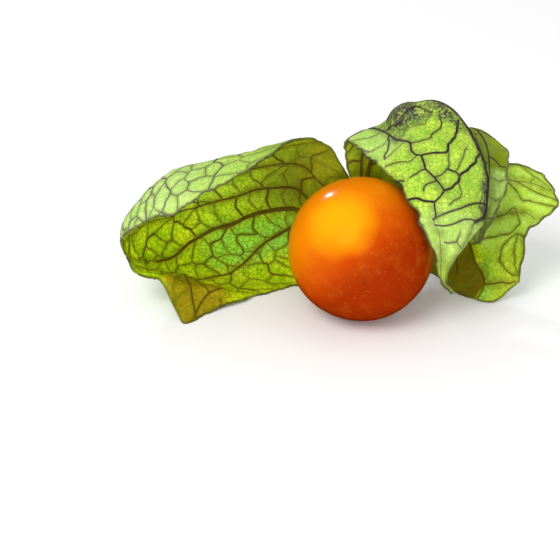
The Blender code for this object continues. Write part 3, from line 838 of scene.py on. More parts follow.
def margin_route(sheet, border):
    """A torn margin, which dries to a thin line, mostly a dark one."""
    along = np.arange(sheet["length"][BASE_ROWS], sheet["length"][-1], VEIN_STEP)
    share, darkness = border_share(border, along), sheet["lobe"].get("margin_darkness", MARGIN_DARKNESS)
    patches = np.clip(0.8 + 0.9 * ripple(read_grid(sheet, sheet["grid"], share, along), 1.8, 13), 0.3, 1.2)
    return share, along, MARGIN_HALF_WIDTH * patches, darkness * patches


def tip_route(sheet):
    """The torn edge across a lobe's end."""
    share = np.linspace(0, sheet["shares"][-1], TIP_PLACES)
    same = (sheet["length"][-1], MARGIN_HALF_WIDTH, MARGIN_DARKNESS)
    return share, *(np.full(TIP_PLACES, value) for value in same)


share, along, half_width, darkness = rib_route(SHEETS["left"], *LEFT_LOBE["ribs"][2])
print(f"the left lobe's strongest rib is {2 * half_width[0]:.1f} mm wide at the stalk and {along[-1]:.0f} mm long")

# %% [markdown]
# ## One joined net
#
# The grown net must not run beside or across a drawn vein, and no vein may float by itself in the tissue. So
# the net is cleared round the drawn veins, and then only those veins are kept that a chain of others joins to
# a rib, a drawn vein or a margin.

# %% One joined net
CLEAR_ROOM = 1.0  # a drawn vein keeps the net this far away, in mm, unless its lobe says otherwise
JOIN_REACH = 0.45  # mm between ends that count as joined


def places_on(sheet, route):
    """Where a route passes, in mm."""
    return read_grid(sheet, sheet["grid"], route[0], route[1])


def clear_of(sheet, net, drawn, least_room):
    """The net without the veins that would run beside or across a drawn one."""
    if not drawn:
        return net
    taken = np.concatenate([places_on(sheet, route) for route in drawn])

    def room(route):
        return np.linalg.norm(places_on(sheet, route)[:, None] - taken[None], axis=2).min(axis=1).mean()

    return [route for route in net if room(route) > least_room]


def tree_of(places):
    """A search tree that finds the nearest of many places quickly."""
    tree = kdtree.KDTree(len(places))
    for number, place in enumerate(places):
        tree.insert(place, number)
    tree.balance()
    return tree


def joined(sheet, net, others):
    """The net without the veins that no chain of veins joins to a rib or a margin. A free end fades away."""
    courses = [places_on(sheet, route) for route in net + others]
    owner = np.repeat(np.arange(len(courses)), [len(course) for course in courses])
    tree = tree_of(np.concatenate(courses))

    def touching(number, end):
        return {int(owner[found[1]]) for found in tree.find_range(courses[number][end], JOIN_REACH)} - {number}

    touches = [(touching(number, 0), touching(number, -1)) for number in range(len(net))]
    reached = set(range(len(net), len(courses)))
    more = reached
    while more:
        more = {number for number, (first, last) in enumerate(touches)
                if number not in reached and (first | last) & reached}
        reached = reached | more
    kept = []
    for number, (share, along, half_width, darkness) in enumerate(net):
        held = [bool(ends & reached) for ends in touches[number]]
        if number in reached:
            fade = np.linspace(1.0, 1.0 if all(held) else 0.2, len(share))[::1 if held[0] else -1]
            kept.append((share, along, half_width * (0.4 + 0.6 * fade), darkness * fade))
    return kept


print("ends within", JOIN_REACH, "mm of a vein count as joined to it")

# %% Every lobe's veins
VEINS, RIBS = {}, {}
for number, (name, sheet) in enumerate(SHEETS.items()):
    lobe = sheet["lobe"]
    borders = [LOW_MARGIN, *(rib[0] for rib in lobe["ribs"]), lobe.get("crease", HIGH_MARGIN)]
    if "crease" in lobe:
        borders.append(HEM_MARGIN)
    net = [route for place, (low, high) in enumerate(zip(borders, borders[1:]))
           for route in panel_veins(sheet, low, high, 100 * number + place)]
    RIBS[name] = [rib_route(sheet, *rib) for rib in lobe["ribs"]]
    drawn = [drawn_route(*vein) for vein in lobe.get("drawn", ())]
    edges = [margin_route(sheet, borders[0]), margin_route(sheet, borders[-1]), tip_route(sheet)]
    net = joined(sheet, clear_of(sheet, net, drawn, lobe.get("room", CLEAR_ROOM)), RIBS[name] + drawn + edges)
    VEINS[name] = net + drawn + edges
    print(f"{name}: {len(RIBS[name])} ribs and {len(net) + len(drawn)} lesser veins")

# %% [markdown]
# ## How far from what
#
# Both the relief and the colours depend on how far a point of the tissue lies from a lesser vein, a rib and a
# free margin. A search tree finds that for all the points in a moment.


# %% How far from what
def read_on(sheet, values, share, along):
    """Values kept for the sheet's points, read on one lobe at shares across and mm along."""
    return read_grid(sheet, values[sheet["index"]], share, along)


def distance_to(targets, points):
    """How far each point is from the nearest target."""
    tree = tree_of(targets)
    return np.array([tree.find(point)[2] for point in points])


def free_sides(quads):
    """The sides that no two quads share, as pairs of points. Together they are the husk's free margins."""
    sides = np.concatenate([quads[:, [a, (a + 1) % 4]] for a in range(4)])
    _, first, counts = np.unique(np.sort(sides, axis=1), axis=0, return_index=True, return_counts=True)
    return sides[first[counts == 1]]


def points_along(routes):
    """Where all the routes of a kind pass, as one list of points."""
    return np.concatenate([read_on(SHEETS[name], points, share, along)
                           for name in SHEETS for share, along, _, _ in routes[name]])


from_vein = distance_to(points_along(VEINS), points)
from_rib = distance_to(points_along(RIBS), points)
from_rim = distance_to(points[np.unique(free_sides(quads))], points)
cup_distance = np.linalg.norm(points - BASE_CENTRE, axis=1)
print(f"no point is more than {from_vein.max():.1f} mm from a vein")

# %% [markdown]
# ## The flap
#
# On the left lobe the hem folds forward over the inner face along a crease. It lies a little nearer than the
# tissue behind it, so it is lifted there, most of all at the crease.

# %% The flap
FLAP_LIFT = 0.6
FLAP_RISE, FLAP_FALL = (20, 23), (30, 32)  # mm along the lobe over which the flap begins and ends
NO_CREASE = 9.0  # a distance that stands for no crease nearby

left = SHEETS["left"]
flap_index = left["index"]
crease = np.interp(left["length"], *np.array(LEFT_LOBE["crease"]).T)
crease_across = read_grid(left, left["across"], crease, left["length"])
past_crease = left["across"] - crease_across[:, None]
hem_width = np.maximum(left["across"][:, -1:] - crease_across[:, None], 0.5)
on_hem = (smoothstep(*FLAP_RISE, left["length"]) * fading(*FLAP_FALL, left["length"]))[:, None]
flap = np.zeros(len(points))
flap[flap_index] = smoothstep(-0.05, 0.35, past_crease) * on_hem
lift = np.zeros(len(points))
lift[flap_index] = FLAP_LIFT * flap[flap_index] * fading(0.3, 1.0, past_crease / hem_width)

print(f"the flap has {int((flap > 0.5).sum())} points and lifts {lift.max():.1f} mm")

# %% [markdown]
# ## Crinkled tissue
#
# Drying shrinks the soft tissue more than the veins that frame it, so each cell of the net stands up like a
# tiny pillow and the whole sheet takes on a slow crinkle. Both could be left to a bump in the material, but
# then the outline would stay smooth, so they are pushed along the sheet's own normal.

# %% Crinkled tissue
PUCKER = 0.17
PUCKER_WIDTH = 0.7  # mm from a vein at which a cell has risen to most of its height
CRINKLE = ((6.0, 0.40), (2.4, 0.13))  # the size and the height of the slow and the quick waves

bulge = np.zeros(len(points))
for sheet in SHEETS.values():
    if "bulge" in sheet["lobe"]:
        along, share, radius, height = sheet["lobe"]["bulge"]
        middle = read_on(sheet, points, np.array([share]), np.array([along]))
        bulge += height * np.exp(-((np.linalg.norm(points - middle, axis=1) / radius) ** 2))
pillow = PUCKER * (1 - np.exp(-(np.minimum(from_vein, from_rib) / PUCKER_WIDTH) ** 2))
crinkle = sum(height * ripple(points, size, 31 + place) for place, (size, height) in enumerate(CRINKLE))
loose = smoothstep(4, 11, cup_distance) * smoothstep(0, 5, points[:, 2] + 1)
points = settled(points + normals * ((pillow + crinkle) * loose - lift + bulge)[:, None])
normals = point_normals(points, quads)
print(f"cells stand up to {pillow.max():.2f} mm, and the slow crinkle is {np.ptp(crinkle):.2f} mm deep")

# %% [markdown]
# ## Where the tints lie
#
# A ripening husk isn't one green. The sunny side is flushed with purple, the folds and the parts near the stalk
# age and dry to brown, the thin outer parts are pale, and a few places are a cooler, minty green. Some tints
# also paint light and shade: the pale at the hood's tip is a painted highlight on its folds, the pale on the
# upper right lobe past its bend is partly painted light that lifts the hood's shade, the darker brown within the
# right lobe's folded rib is partly painted shade, and a darker green band just past that fold is painted shade.
# The tints are worked out lobe by lobe, in shares across and mm along, as numbers from 0 to 1 that the
# materials then read.

# %% Where the tints lie on the hood
# Each flushed patch: its strength, its middle and spread in shares across, and then the same in mm along.
FLUSH_PATCHES = ((0.85, 0.46, 0.2, 17.6, 3.4), (0.6, 0.7, 0.16, 19.8, 3.2), (0.4, 0.24, 0.05, 19.5, 4.0))
RIB_FLUSH = (0.8, 2.4)  # the flush's strength on the strong rib, and how far it spreads from it in mm


def hood_tints(sheet, share, along):
    """The hood is flushed on its top and by its strong rib, pale near its low margin, and pale at its tip,
    where the pale is a painted highlight on its folds.
    """
    rib = border_share(HOOD_LOBE["ribs"][1][0], sheet["length"])
    rib_gap = sheet["across"] - read_grid(sheet, sheet["across"], rib, sheet["length"])[:, None]
    by_rib = RIB_FLUSH[0] * np.exp(-(rib_gap / RIB_FLUSH[1]) ** 2)
    flushes = [by_rib * smoothstep(11, 15, along) * fading(31, 36, along)] + [
        strength * np.exp(-((share - middle) / spread) ** 2 - ((along - place) / reach) ** 2)
        for strength, middle, spread, place, reach in FLUSH_PATCHES]
    return {
        "flush": np.max(flushes, axis=0),
        "age": 0.6 * smoothstep(0.86, 1.0, along / sheet["length"][-1]),
        # Towards the tip the pale is a painted highlight on the hood's folds.
        "pale": np.maximum(0.7 * smoothstep(33, 36, along) * fading(39, 43, along),
                           0.6 * fading(0.15, 0.4, share) * fading(20, 26, along)),
    }


print("flushed patches on the hood:", len(FLUSH_PATCHES), "and the strong rib")


# %% Where the tints lie on the other lobes
def left_tints(sheet, share, along):
    """The left lobe is aged and dry near the stalk, pale in its upper half and minty below its middle."""
    return {
        "age": 0.75 * fading(6, 22, along) * fading(0.45, 0.7, share),
        "dry": 0.7 * fading(5, 16, along) * fading(0.4, 0.65, share),
        "pale": fading(0.45, 0.6, share) * (0.2 + 0.8 * smoothstep(15, 28, along)),
        "mint": smoothstep(0.56, 0.66, share) * fading(0.76, 0.86, share) * fading(19, 25, along),
    }


def upper_right_tints(sheet, share, along):
    """The upper right lobe is aged as far as the place where it bends over, and pale from there on, partly
    its own pale green and partly painted light that lifts the hood's shade.
    """
    return {
        "age": 1 - 0.95 * smoothstep(24.2, 25.2, along) + 0.6 * smoothstep(31, 32.5, along),
        "dry": 0.3 * fading(24.2, 25.2, along),
        # Past the bend the pale is partly the lobe's own colour and partly painted light that lifts the hood's
        # shade.
        "pale": np.maximum(smoothstep(0.9, 1.0, share), 0.75 * smoothstep(24.2, 25.2, along)),
    }


def right_tints(sheet, share, along):
    """The right lobe is dry within its folded rib, where painted shade darkens it under the hood, and pale
    beyond it, with a darker green band of painted shade just past the fold.
    """
    bound = np.interp(share, [0.5, 0.55, 0.62, 0.73, 0.79, 0.84, 0.9, 1.0],
                      [11.0, 14.0, 15.0, 16.3, 17.4, 18.6, 19.6, 19.0])
    beyond = along - bound
    within = fading(-0.3, 0.3, beyond)
    return {
        "pale": smoothstep(0.2, 2.8, beyond) * (1 - 0.55 * smoothstep(0.5, 0.75, share)),
        # A darker green band just past the fold: painted shade.
        "mint": smoothstep(0, 0.4, beyond) * fading(1, 3, beyond) * smoothstep(0.7, 0.8, share),
        # Within the folded rib the tissue is painted dry brown, darker where it is also aged: partly its own dry
        # colour and partly painted shade under the hood.
        "dry": within * smoothstep(0.5, 0.6, share),
        "age": np.maximum(within * smoothstep(0.45, 0.6, share), 0.3 * smoothstep(0.55, 0.8, share)),
    }


TINTED = {"hood": hood_tints, "left": left_tints, "upper_right": upper_right_tints, "right": right_tints}
TINT_NAMES = ("flush", "age", "dry", "pale", "mint")
tints = {tint: np.zeros(len(points)) for tint in TINT_NAMES}
for name, tinted in TINTED.items():
    sheet = SHEETS[name]
    index = sheet["index"]
    share = np.broadcast_to(sheet["shares"], index.shape)
    along = np.broadcast_to(sheet["length"][:, None], index.shape)
    for tint, values in tinted(sheet, share, along).items():
        tints[tint][index] = values
tints["dry"] = np.maximum(tints["dry"], flap)
tints = {tint: values * smoothstep(3.5, 10, cup_distance) for tint, values in tints.items()}
print("mean of each tint:", {tint: round(float(values.mean()), 2) for tint, values in tints.items()})

# %% [markdown]
# ## The tissue as a solid sheet
#
# Paper thin as it is, the husk has two faces and a rim, and light that enters one face leaves the other. A
# single layer of faces couldn't show that, so the sheet is built as a closed skin 0.2 mm thick. The measures
# that the colours need are stored on its points: the tints, and the distance from the veins, rim and crease.

# %% The tissue as a solid sheet
CUP_AGE = (0.3, 0.85)  # how aged the tissue is round the stalk, on the outer and on the inner face
DRY_SHARE = (0.4, 1.0)  # how far the dry tint shows on either
FAR = 3  # mm beyond which a distance no longer matters


def new_mesh(name, corners, faces, material_numbers=None):
    """A smooth-shaded mesh object in the scene, from points in mm and their faces."""
    mesh = bpy.data.meshes.new(name)
    mesh.from_pydata((np.asarray(corners) * MM).tolist(), [], [list(face) for face in faces])
    if material_numbers is not None:
        mesh.polygons.foreach_set("material_index", np.asarray(material_numbers, np.int32))
    mesh.polygons.foreach_set("use_smooth", np.ones(len(mesh.polygons), bool))
    mesh.update()
    thing = bpy.data.objects.new(name, mesh)
    bpy.context.scene.collection.objects.link(thing)
    return thing


def store(thing, **measures):
    """Stores one number a point under each name, for the shader's Attribute nodes."""
    for name, values in measures.items():
        kept = thing.data.attributes.new(name, "FLOAT", "POINT")
        kept.data.foreach_set("value", np.asarray(values, np.float32))


count = len(points)
half = normals * SHEET_THICKNESS / 2
free = free_sides(quads)
closing = np.stack([free[:, 1], free[:, 0], free[:, 0] + count, free[:, 1] + count], axis=1)
husk = new_mesh(
    "husk_sheet",
    np.concatenate([points + half, points - half]),
    np.concatenate([quads, quads[:, ::-1] + count, closing]),
    [0] * len(quads) + [1] * len(quads) + [0] * len(closing),
)
from_crease = np.full(count, NO_CREASE)
from_crease[flap_index] = np.where(on_hem > 0.5, np.abs(past_crease), NO_CREASE)
gaps = {"from_vein": from_vein, "from_rib": from_rib, "from_rim": from_rim, "from_crease": from_crease}
store(husk, **{name: np.tile(np.minimum(values, FAR), 2) for name, values in gaps.items()})
store(husk, **{name: np.tile(tints[name], 2) for name in ("flush", "pale", "mint")})
cup = fading(6, 13, cup_distance)
store(husk, age=np.concatenate([np.maximum(tints["age"], cup_age * cup) for cup_age in CUP_AGE]),
      dry=np.concatenate([share * tints["dry"] for share in DRY_SHARE]))
print(f"the sheet has {len(husk.data.polygons)} faces")

# %% [markdown]
# ## The veins as ridges
#
# On a real husk the veins stand proud of both faces and catch the light. Each is a low half-round ridge laid
# along its route, sunk a little into the sheet and closed at its ends. The ridges of the outer face are dark
# and crisp. On the inner face they are softer, so they get a material of their own.

# %% One vein's ridge
RIDGE_TURNS = np.radians([-12, 39, 90, 141, 192])
RIDGE_HEIGHT = 0.8  # of the half-width
RIDGE_SINK = 0.02  # mm that a ridge's foot lies under the face
SHORTEST_STEP = 0.02  # mm between two rings of a ridge


def ridge(course, upward, half_width):
    """Points and faces of one ridge along a course, with upward the sheet's normal there."""
    ahead = unit(np.gradient(course, axis=0))
    aside = unit(np.cross(ahead, upward))
    around = np.cos(RIDGE_TURNS), np.sin(RIDGE_TURNS) * RIDGE_HEIGHT
    ring = (
        course[:, None, :]
        + aside[:, None, :] * (half_width[:, None] * around[0])[..., None]
        + upward[:, None, :] * (half_width[:, None] * around[1])[..., None]
    )
    turns = len(RIDGE_TURNS)
    corners = ring.reshape(-1, 3)
    start = np.arange(len(course) - 1)[:, None] * turns
    here, onward = np.arange(turns), (np.arange(turns) + 1) % turns
    sides = np.stack([start + here, start + onward, start + onward + turns, start + here + turns], axis=-1)
    ends = [tuple(range(turns))[::-1], tuple(range(len(corners) - turns, len(corners)))]
    return corners, [tuple(face) for face in sides.reshape(-1, 4).tolist()] + ends


print(f"a ridge 1 mm wide stands {RIDGE_HEIGHT / 2 - RIDGE_SINK:.2f} mm proud")


# %% All the ridges
def ridges(name, side):
    """All the veins' ridges on one face of the husk, the outer (1) or the inner (-1)."""
    corners, faces, tones, total = [], [], [], 0
    for lobe, sheet in SHEETS.items():
        for share, along, half_width, darkness in RIBS[lobe] + VEINS[lobe]:
            upward = side * unit(read_on(sheet, normals, share, along))
            course = read_on(sheet, points, share, along) + upward * (SHEET_THICKNESS / 2 - RIDGE_SINK)
            moved = np.linalg.norm(np.diff(course, axis=0), axis=1)
            keep = np.concatenate([[True], moved > SHORTEST_STEP])
            if keep.sum() < 3:
                continue
            made, made_faces = ridge(course[keep], upward[keep], half_width[keep])
            corners.append(made)
            faces += [tuple(corner + total for corner in face) for face in made_faces]
            paleness = read_on(sheet, tints["pale"], share, along) * np.interp(darkness, [0.5, 0.9], [1.0, 0.4])
            tones.append(np.repeat(np.stack([darkness, paleness])[:, keep], len(RIDGE_TURNS), axis=1))
            total += len(made)
    thing = new_mesh(name, np.concatenate(corners), faces)
    darkness, paleness = np.concatenate(tones, axis=1)
    store(thing, darkness=darkness, pale=paleness)
    print(f"{name}: {len(faces)} faces")
    return thing


outer_veins = ridges("husk_veins_outside", 1)
inner_veins = ridges("husk_veins_inside", -1)

# %% [markdown]
# ## The berry
#
# The berry is a little narrower along its axis than across it, with a shallow dimple round the stalk and a
# dot of a scar where the flower's style fell off. Its skin is so smooth that the form has to be made finely,
# or the highlight would show facets.

# %% The berry
BERRY_RINGS = 120
BERRY_SIDES = 180
STEM_DIMPLE = 0.45
STYLE_POINT = 0.1


def berry_points(share, turn):
    """Points on the berry: share is 0 at the blossom end and 1 at the stem end, turn goes round its axis."""
    angle = np.pi * share
    swell = 1 + (0.006 * np.cos(2 * turn + 0.4) + 0.004 * np.cos(5 * turn)) * np.sin(angle)
    radius = BERRY_RADIUS * np.sin(angle) * swell
    along = -BERRY_LENGTH_RADIUS * np.cos(angle)
    along -= STEM_DIMPLE * np.exp(-(((1 - share) / 0.09) ** 2))
    along -= STYLE_POINT * np.exp(-((share / 0.03) ** 2))
    return BERRY_CENTRE + np.stack([radius * np.cos(turn), along, radius * np.sin(turn)], axis=-1)


def ring_faces(rings, sides):
    """Quads from each ring of points to the next, and fans onto the two middles that follow the rings."""
    starts = np.arange(rings - 1)[:, None] * sides
    here, onward = np.arange(sides), (np.arange(sides) + 1) % sides
    corners = [starts + here, starts + onward, starts + onward + sides, starts + here + sides]
    first, last = rings * sides, (rings - 1) * sides
    pairs = list(zip(here.tolist(), onward.tolist()))
    return (np.stack(corners, axis=-1).reshape(-1, 4).tolist() + [(first, b, a) for a, b in pairs]
            + [(first + 1, last + a, last + b) for a, b in pairs])


share = np.arange(1, BERRY_RINGS)[:, None] / BERRY_RINGS * np.ones(BERRY_SIDES)
turn = 2 * np.pi * np.arange(BERRY_SIDES)[None, :] / BERRY_SIDES * np.ones((BERRY_RINGS - 1, 1))
skin = berry_points(share, turn).reshape(-1, 3)
poles = berry_points(np.array([0.0, 1.0]), np.zeros(2))
skin = np.concatenate([skin, poles])
skin[:, 2] = np.maximum(skin[:, 2], 0.01)
faces = [face[::-1] for face in ring_faces(BERRY_RINGS - 1, BERRY_SIDES)]
berry = new_mesh("berry_skin", skin, faces)
print(f"the berry has {len(faces)} faces")

# %% [markdown]
# ## The stalk
#
# A thin stalk carries the berry through the middle of the husk. It swells into a collar where the husk springs
# from it, bends down to the surface behind, and ends in a slightly wider, clean break. Five low ribs run along
# it, the traces of the vessels inside.

# %% The stalk
STALK_ROUTE = (
    ((0.5, 9.4, 9.3), 0.85),
    ((0.95, 10.9, 9.3), 0.9),
    ((0.98, 11.5, 9.3), 0.95),
    ((0.99, 11.75, 9.3), 1.6),
    ((1.0, 12.3, 9.3), 1.9),
    ((1.0, 12.75, 9.28), 2.0),
    ((1.0, 13.3, 9.2), 1.75),
    ((1.1, 14.4, 8.7), 1.15),
    ((1.5, 16.2, 7.2), 0.92),
    ((2.2, 18.2, 4.9), 0.86),
    ((3.0, 20.1, 2.6), 0.9),
    ((3.6, 21.5, 1.1), 1.05),
    ((3.8, 21.9, 0.85), 1.1),
)
STALK_SIDES = 30
STALK_RINGS = 120


def stalk_rings():
    """The stalk's rings of points, ribbed, with its two end discs' middles last."""
    route = np.array([point for point, _ in STALK_ROUTE])
    radii = np.array([[radius] for _, radius in STALK_ROUTE])
    places = np.linspace(0, len(route) - 1, STALK_RINGS)
    line = smooth_line(route, places)
    radius = np.interp(places, np.arange(len(radii)), radii[:, 0])
    ahead = unit(np.gradient(line, axis=0))
    aside = unit(np.cross(ahead, np.array([0.0, 0.0, 1.0])))
    upward = np.cross(aside, ahead)
    turn = 2 * np.pi * np.arange(STALK_SIDES) / STALK_SIDES
    ribbed = radius[:, None] * (1 + 0.05 * np.cos(5 * turn + places[:, None] * 0.35))
    ring = line[:, None, :] + aside[:, None, :] * (ribbed * np.cos(turn))[..., None]
    ring = ring + upward[:, None, :] * (ribbed * np.sin(turn))[..., None]
    ring += ripple(ring, 1.1, 3)[..., None] * 0.03
    ring[..., 2] = np.maximum(ring[..., 2], 0.01)
    return ring, line[[0, -1]]


ring, ends = stalk_rings()
faces = ring_faces(STALK_RINGS, STALK_SIDES)
stalk = new_mesh("stalk", np.concatenate([ring.reshape(-1, 3), ends]), faces)
print(f"the stalk has {len(faces)} faces")

# %% [markdown]
# ## One function for every node
#
# A material is a network of small steps called nodes. They could be wired by hand in the shader editor, but a
# script can be read and run again. One function adds any node, with its settings and its links, and hands back
# one of its outputs. Another builds a whole finish from coats of colour, laid one over another as a painter
# would, each with a share from 0 to 1 that says where it shows.

# %% One function for every node
SMOOTH = {"interpolation_type": "SMOOTHSTEP"}
TIMES, PLUS = {"operation": "MULTIPLY"}, {"operation": "ADD"}
COLOURS = {"data_type": "RGBA"}


def added(tree, kind, inputs=(), out=0, **settings):
    """Adds one node with its settings and its inputs, by order or by name, and returns one of its outputs."""
    node = tree.nodes.new("ShaderNode" + kind)
    for name, value in settings.items():
        setattr(node, name, value)
    for name, value in (inputs if isinstance(inputs, dict) else dict(enumerate(inputs))).items():
        if isinstance(value, bpy.types.NodeSocket):
            tree.links.new(value, node.inputs[name])
        else:
            node.inputs[name].default_value = value
    return node.outputs[out] if len(node.outputs) else None


def scale_of(size_mm):
    """The texture scale at which one feature is size_mm wide."""
    return 1 / (size_mm * MM)


def finish(name, build):
    """A material on one Principled shader. Build gives its coats of colour, the ground first, and its inputs."""
    material = bpy.data.materials.new(name)
    material.use_nodes = True
    tree = material.node_tree
    tree.nodes.clear()
    add = partial(added, tree)
    coats, others = build(add, add("TexCoord", out="Object"))
    colour = None
    for share, coat in coats:
        paint = light(coat) if isinstance(coat, str) else coat
        colour = paint if colour is None else add("Mix", {0: share, 6: colour, 7: paint}, 2, **COLOURS)
    add("OutputMaterial", {"Surface": add("BsdfPrincipled", {"Base Color": colour, **others})})
    print(f"{name}: {len(coats)} coats, {len(tree.nodes)} nodes")
    return material


# %% [markdown]
# ## Husk tissue
#
# The husk is a calyx, thin leaf tissue that grew as a lantern and is drying to paper. Its two faces are one
# tissue, so one function finishes both. The outer face is pale and waxy, with purple where the sun caught it,
# and the inner face is a deeper, fresher green; its young and deep tints are also painted brighter and yellower
# than that green, a painted glow of the light that shines through the lobes. Between the veins lies a still
# finer net, drawn by the distance to the walls of a Voronoi pattern. Light passes into the tissue and spreads
# under its surface, which gives the glow of a leaf, and the wax scatters the gloss, so it is neither matt nor
# shiny.

# %% Tints and sizes of the tissue
FINE_CELL = 0.62  # mm; the real cells are nearer 0.4, and are drawn coarser so that they show
HAIR_SPACING = 0.22  # mm; the real hairs stand closer, and are drawn coarser so that they show
# Each noise's feature size in mm, its detail and its roughness: mottling, patches, grain and hairs.
TISSUE_NOISES = ((5.0, 3.0, 0.5), (1.4, 4.0, 0.6), (0.35, 3.0, 0.7), (HAIR_SPACING, 2.0, 0.6))
NET_STRENGTH = 0.6
OUTER_TINTS = {"young": "#CAE850", "deep": "#98C43A", "pale": "#C6E28E", "mint": "#A9D07A", "aged": "#7C8600",
               "net": "#6A9430", "by_vein": "#7C8C3C"}
# On the inner face the young and deep tints are painted brighter and yellower than the tissue's own green: partly
# its fresh colour and partly a painted glow of the light that shines through the lobes.
INNER_TINTS = {"young": "#E2F41E", "deep": "#AED20A", "pale": "#B4D66C", "mint": "#9AEC5C", "aged": "#84740A",
               "net": "#5A7C04", "by_vein": "#7A7406"}
# Dried tissue, and a darker dried tint where it is also aged. The darker one is partly older, browner tissue and
# partly painted shade, within the right lobe's folded rib under the hood.
DRIED, DRIED_AGED_AND_SHADED = "#A28008", "#7A5A06"
HAZE, SPECKLE, HAIRS = "#4C5A30", "#3A2A38", "#B4BAA2"
CREASE_LINE, RIM_LINE = "#C2CC6A", "#4E4420"
print(f"the fine net has a cell every {FINE_CELL} mm")


# %% Husk tissue
def husk_tissue(name, tints, glow):
    """The tissue of one face of the husk. Glow is how much of its light passes under the surface."""
    def build(add, place):
        kept = {part: add("Attribute", out="Fac", attribute_name=part) for part in (*gaps, *TINT_NAMES)}
        broad, small, grain, hair = (
            add("TexNoise", {"Vector": place, "Scale": scale_of(size), "Detail": detail, "Roughness": roughness})
            for size, detail, roughness in TISSUE_NOISES)
        wander = add("TexNoise", {"Vector": place, "Scale": scale_of(1.6), "Detail": 2.0}, "Color")
        centred = add("VectorMath", (wander, (0.5, 0.5, 0.5)), operation="SUBTRACT")
        shift = add("VectorMath", {0: centred, "Scale": 1.1 * MM}, operation="SCALE")
        bent = add("VectorMath", (place, shift), **PLUS)
        fine = {"Vector": bent, "Scale": scale_of(FINE_CELL), "Randomness": 0.9}
        walls = add("TexVoronoi", fine, "Distance", feature="DISTANCE_TO_EDGE")
        cell_tone = add("SeparateColor", (add("TexVoronoi", fine, "Color", feature="F1"),))
        mottle = add("Math", (add("Math", (broad, 0.6), **TIMES), add("Math", (small, 0.4), **TIMES)), **PLUS)
        # Each share: what it is read from, the values where it starts and ends, and its own start and end.
        part = {share: add("MapRange", limits, **SMOOTH) for share, limits in {
            "deep": (mottle, 0.38, 0.62),
            "deep_cell": (cell_tone, 0.0, 1.0, 0.0, 0.5),
            "young_grain": (grain, 0.5, 0.8, 0.0, 0.25),
            "aged_patch": (small, 0.25, 0.6, 0.75, 1.0),
            "dry_patch": (small, 0.25, 0.6, 0.8, 0.95),
            "net": (walls, 0.02, 0.13, 1.0, 0.0),
            "net_strength": (kept["pale"], 0.0, 1.0, NET_STRENGTH, 0.35 * NET_STRENGTH),
            "near_vein": (kept["from_vein"], 0.05, 0.5, 1.0, 0.0),
            "near_rib": (kept["from_rib"], 0.15, 1.3, 1.0, 0.0),
            "vein_patch": (small, 0.3, 0.7, 0.25, 0.8),
            "flush_patch": (small, 0.3, 0.6, 0.45, 1.0),
            "speckle": (grain, 0.42, 0.52),
            "hair": (hair, 0.56, 0.66),
            "hairy": (kept["flush"], 0.2, 0.7, 0.0, 0.5),
            "near_crease": (kept["from_crease"], 0.08, 0.3, 0.75, 0.0),
            "near_rim": (kept["from_rim"], 0.05, 0.35, 0.8, 0.0),
            "rim_patch": (small, 0.35, 0.6, 0.3, 1.0),
            "roughness": (small, 0.3, 0.7, 0.5, 0.68),
        }.items()}
        flush = add("Math", (kept["flush"], part["flush_patch"]), **TIMES)
        haze = add("MapRange", (flush, 0.08, 0.7, 0.0, 0.72), **SMOOTH)
        dusk = add("MapRange", (flush, 0.08, 0.6, 0.0, 0.92), **SMOOTH)
        solid = add("MapRange", (flush, 0.6, 0.95), **SMOOTH)
        by_vein = add("Math", (part["near_vein"], part["near_rib"]), operation="MAXIMUM")
        coats = [
            (1.0, tints["young"]),
            (part["deep"], tints["deep"]),
            (add("Math", (kept["pale"], 0.85), **TIMES), tints["pale"]),
            (add("Math", (kept["mint"], 0.8), **TIMES), tints["mint"]),
            (part["deep_cell"], tints["deep"]),
            (part["young_grain"], tints["young"]),
            (add("Math", (kept["age"], part["aged_patch"]), **TIMES), tints["aged"]),
            # Dried tissue, darker where aged; within the right lobe's folded rib that darker brown is partly
            # painted shade.
            (add("Math", (kept["dry"], part["dry_patch"]), **TIMES),
             add("Mix", {0: kept["age"], 6: light(DRIED), 7: light(DRIED_AGED_AND_SHADED)}, 2, **COLOURS)),
            (add("Math", (part["net"], part["net_strength"]), **TIMES), tints["net"]),
            (add("Math", (by_vein, part["vein_patch"]), **TIMES), tints["by_vein"]),
            (haze, HAZE),
            (add("Math", (dusk, add("Math", (part["speckle"], solid), operation="MAXIMUM")), **TIMES), SPECKLE),
            (add("Math", (part["hair"], part["hairy"]), **TIMES), HAIRS),
            (part["near_crease"], CREASE_LINE),
            (add("Math", (part["near_rim"], part["rim_patch"]), **TIMES), RIM_LINE),
        ]
        sunk, risen = add("Math", (part["net"], -0.6), **TIMES), add("Math", (small, 0.8), **TIMES)
        height = add("Math", (sunk, risen), **PLUS)
        return coats, {
            "Roughness": part["roughness"],
            "Normal": add("Bump", {"Height": height, "Strength": 0.5, "Distance": 0.08 * MM}),
            "Subsurface Weight": glow,
            "Subsurface Radius": (1.0, 1.3, 0.35),
            "Subsurface Scale": 0.7 * MM,
            "IOR": 1.42,
            "Specular IOR Level": 0.3,
        }
    return finish(name, build)


husk.data.materials.append(husk_tissue("husk_outer_face", OUTER_TINTS, 0.3))
husk.data.materials.append(husk_tissue("husk_inner_face", INNER_TINTS, 0.55))

# %% [markdown]
# ## Vein strands
#
# A vein is a bundle of woody strands under a thin skin. It is duller than the tissue and lets no light through,
# so it has no glow. Strong veins are dark, and faint ones are nearly the tissue's own green.


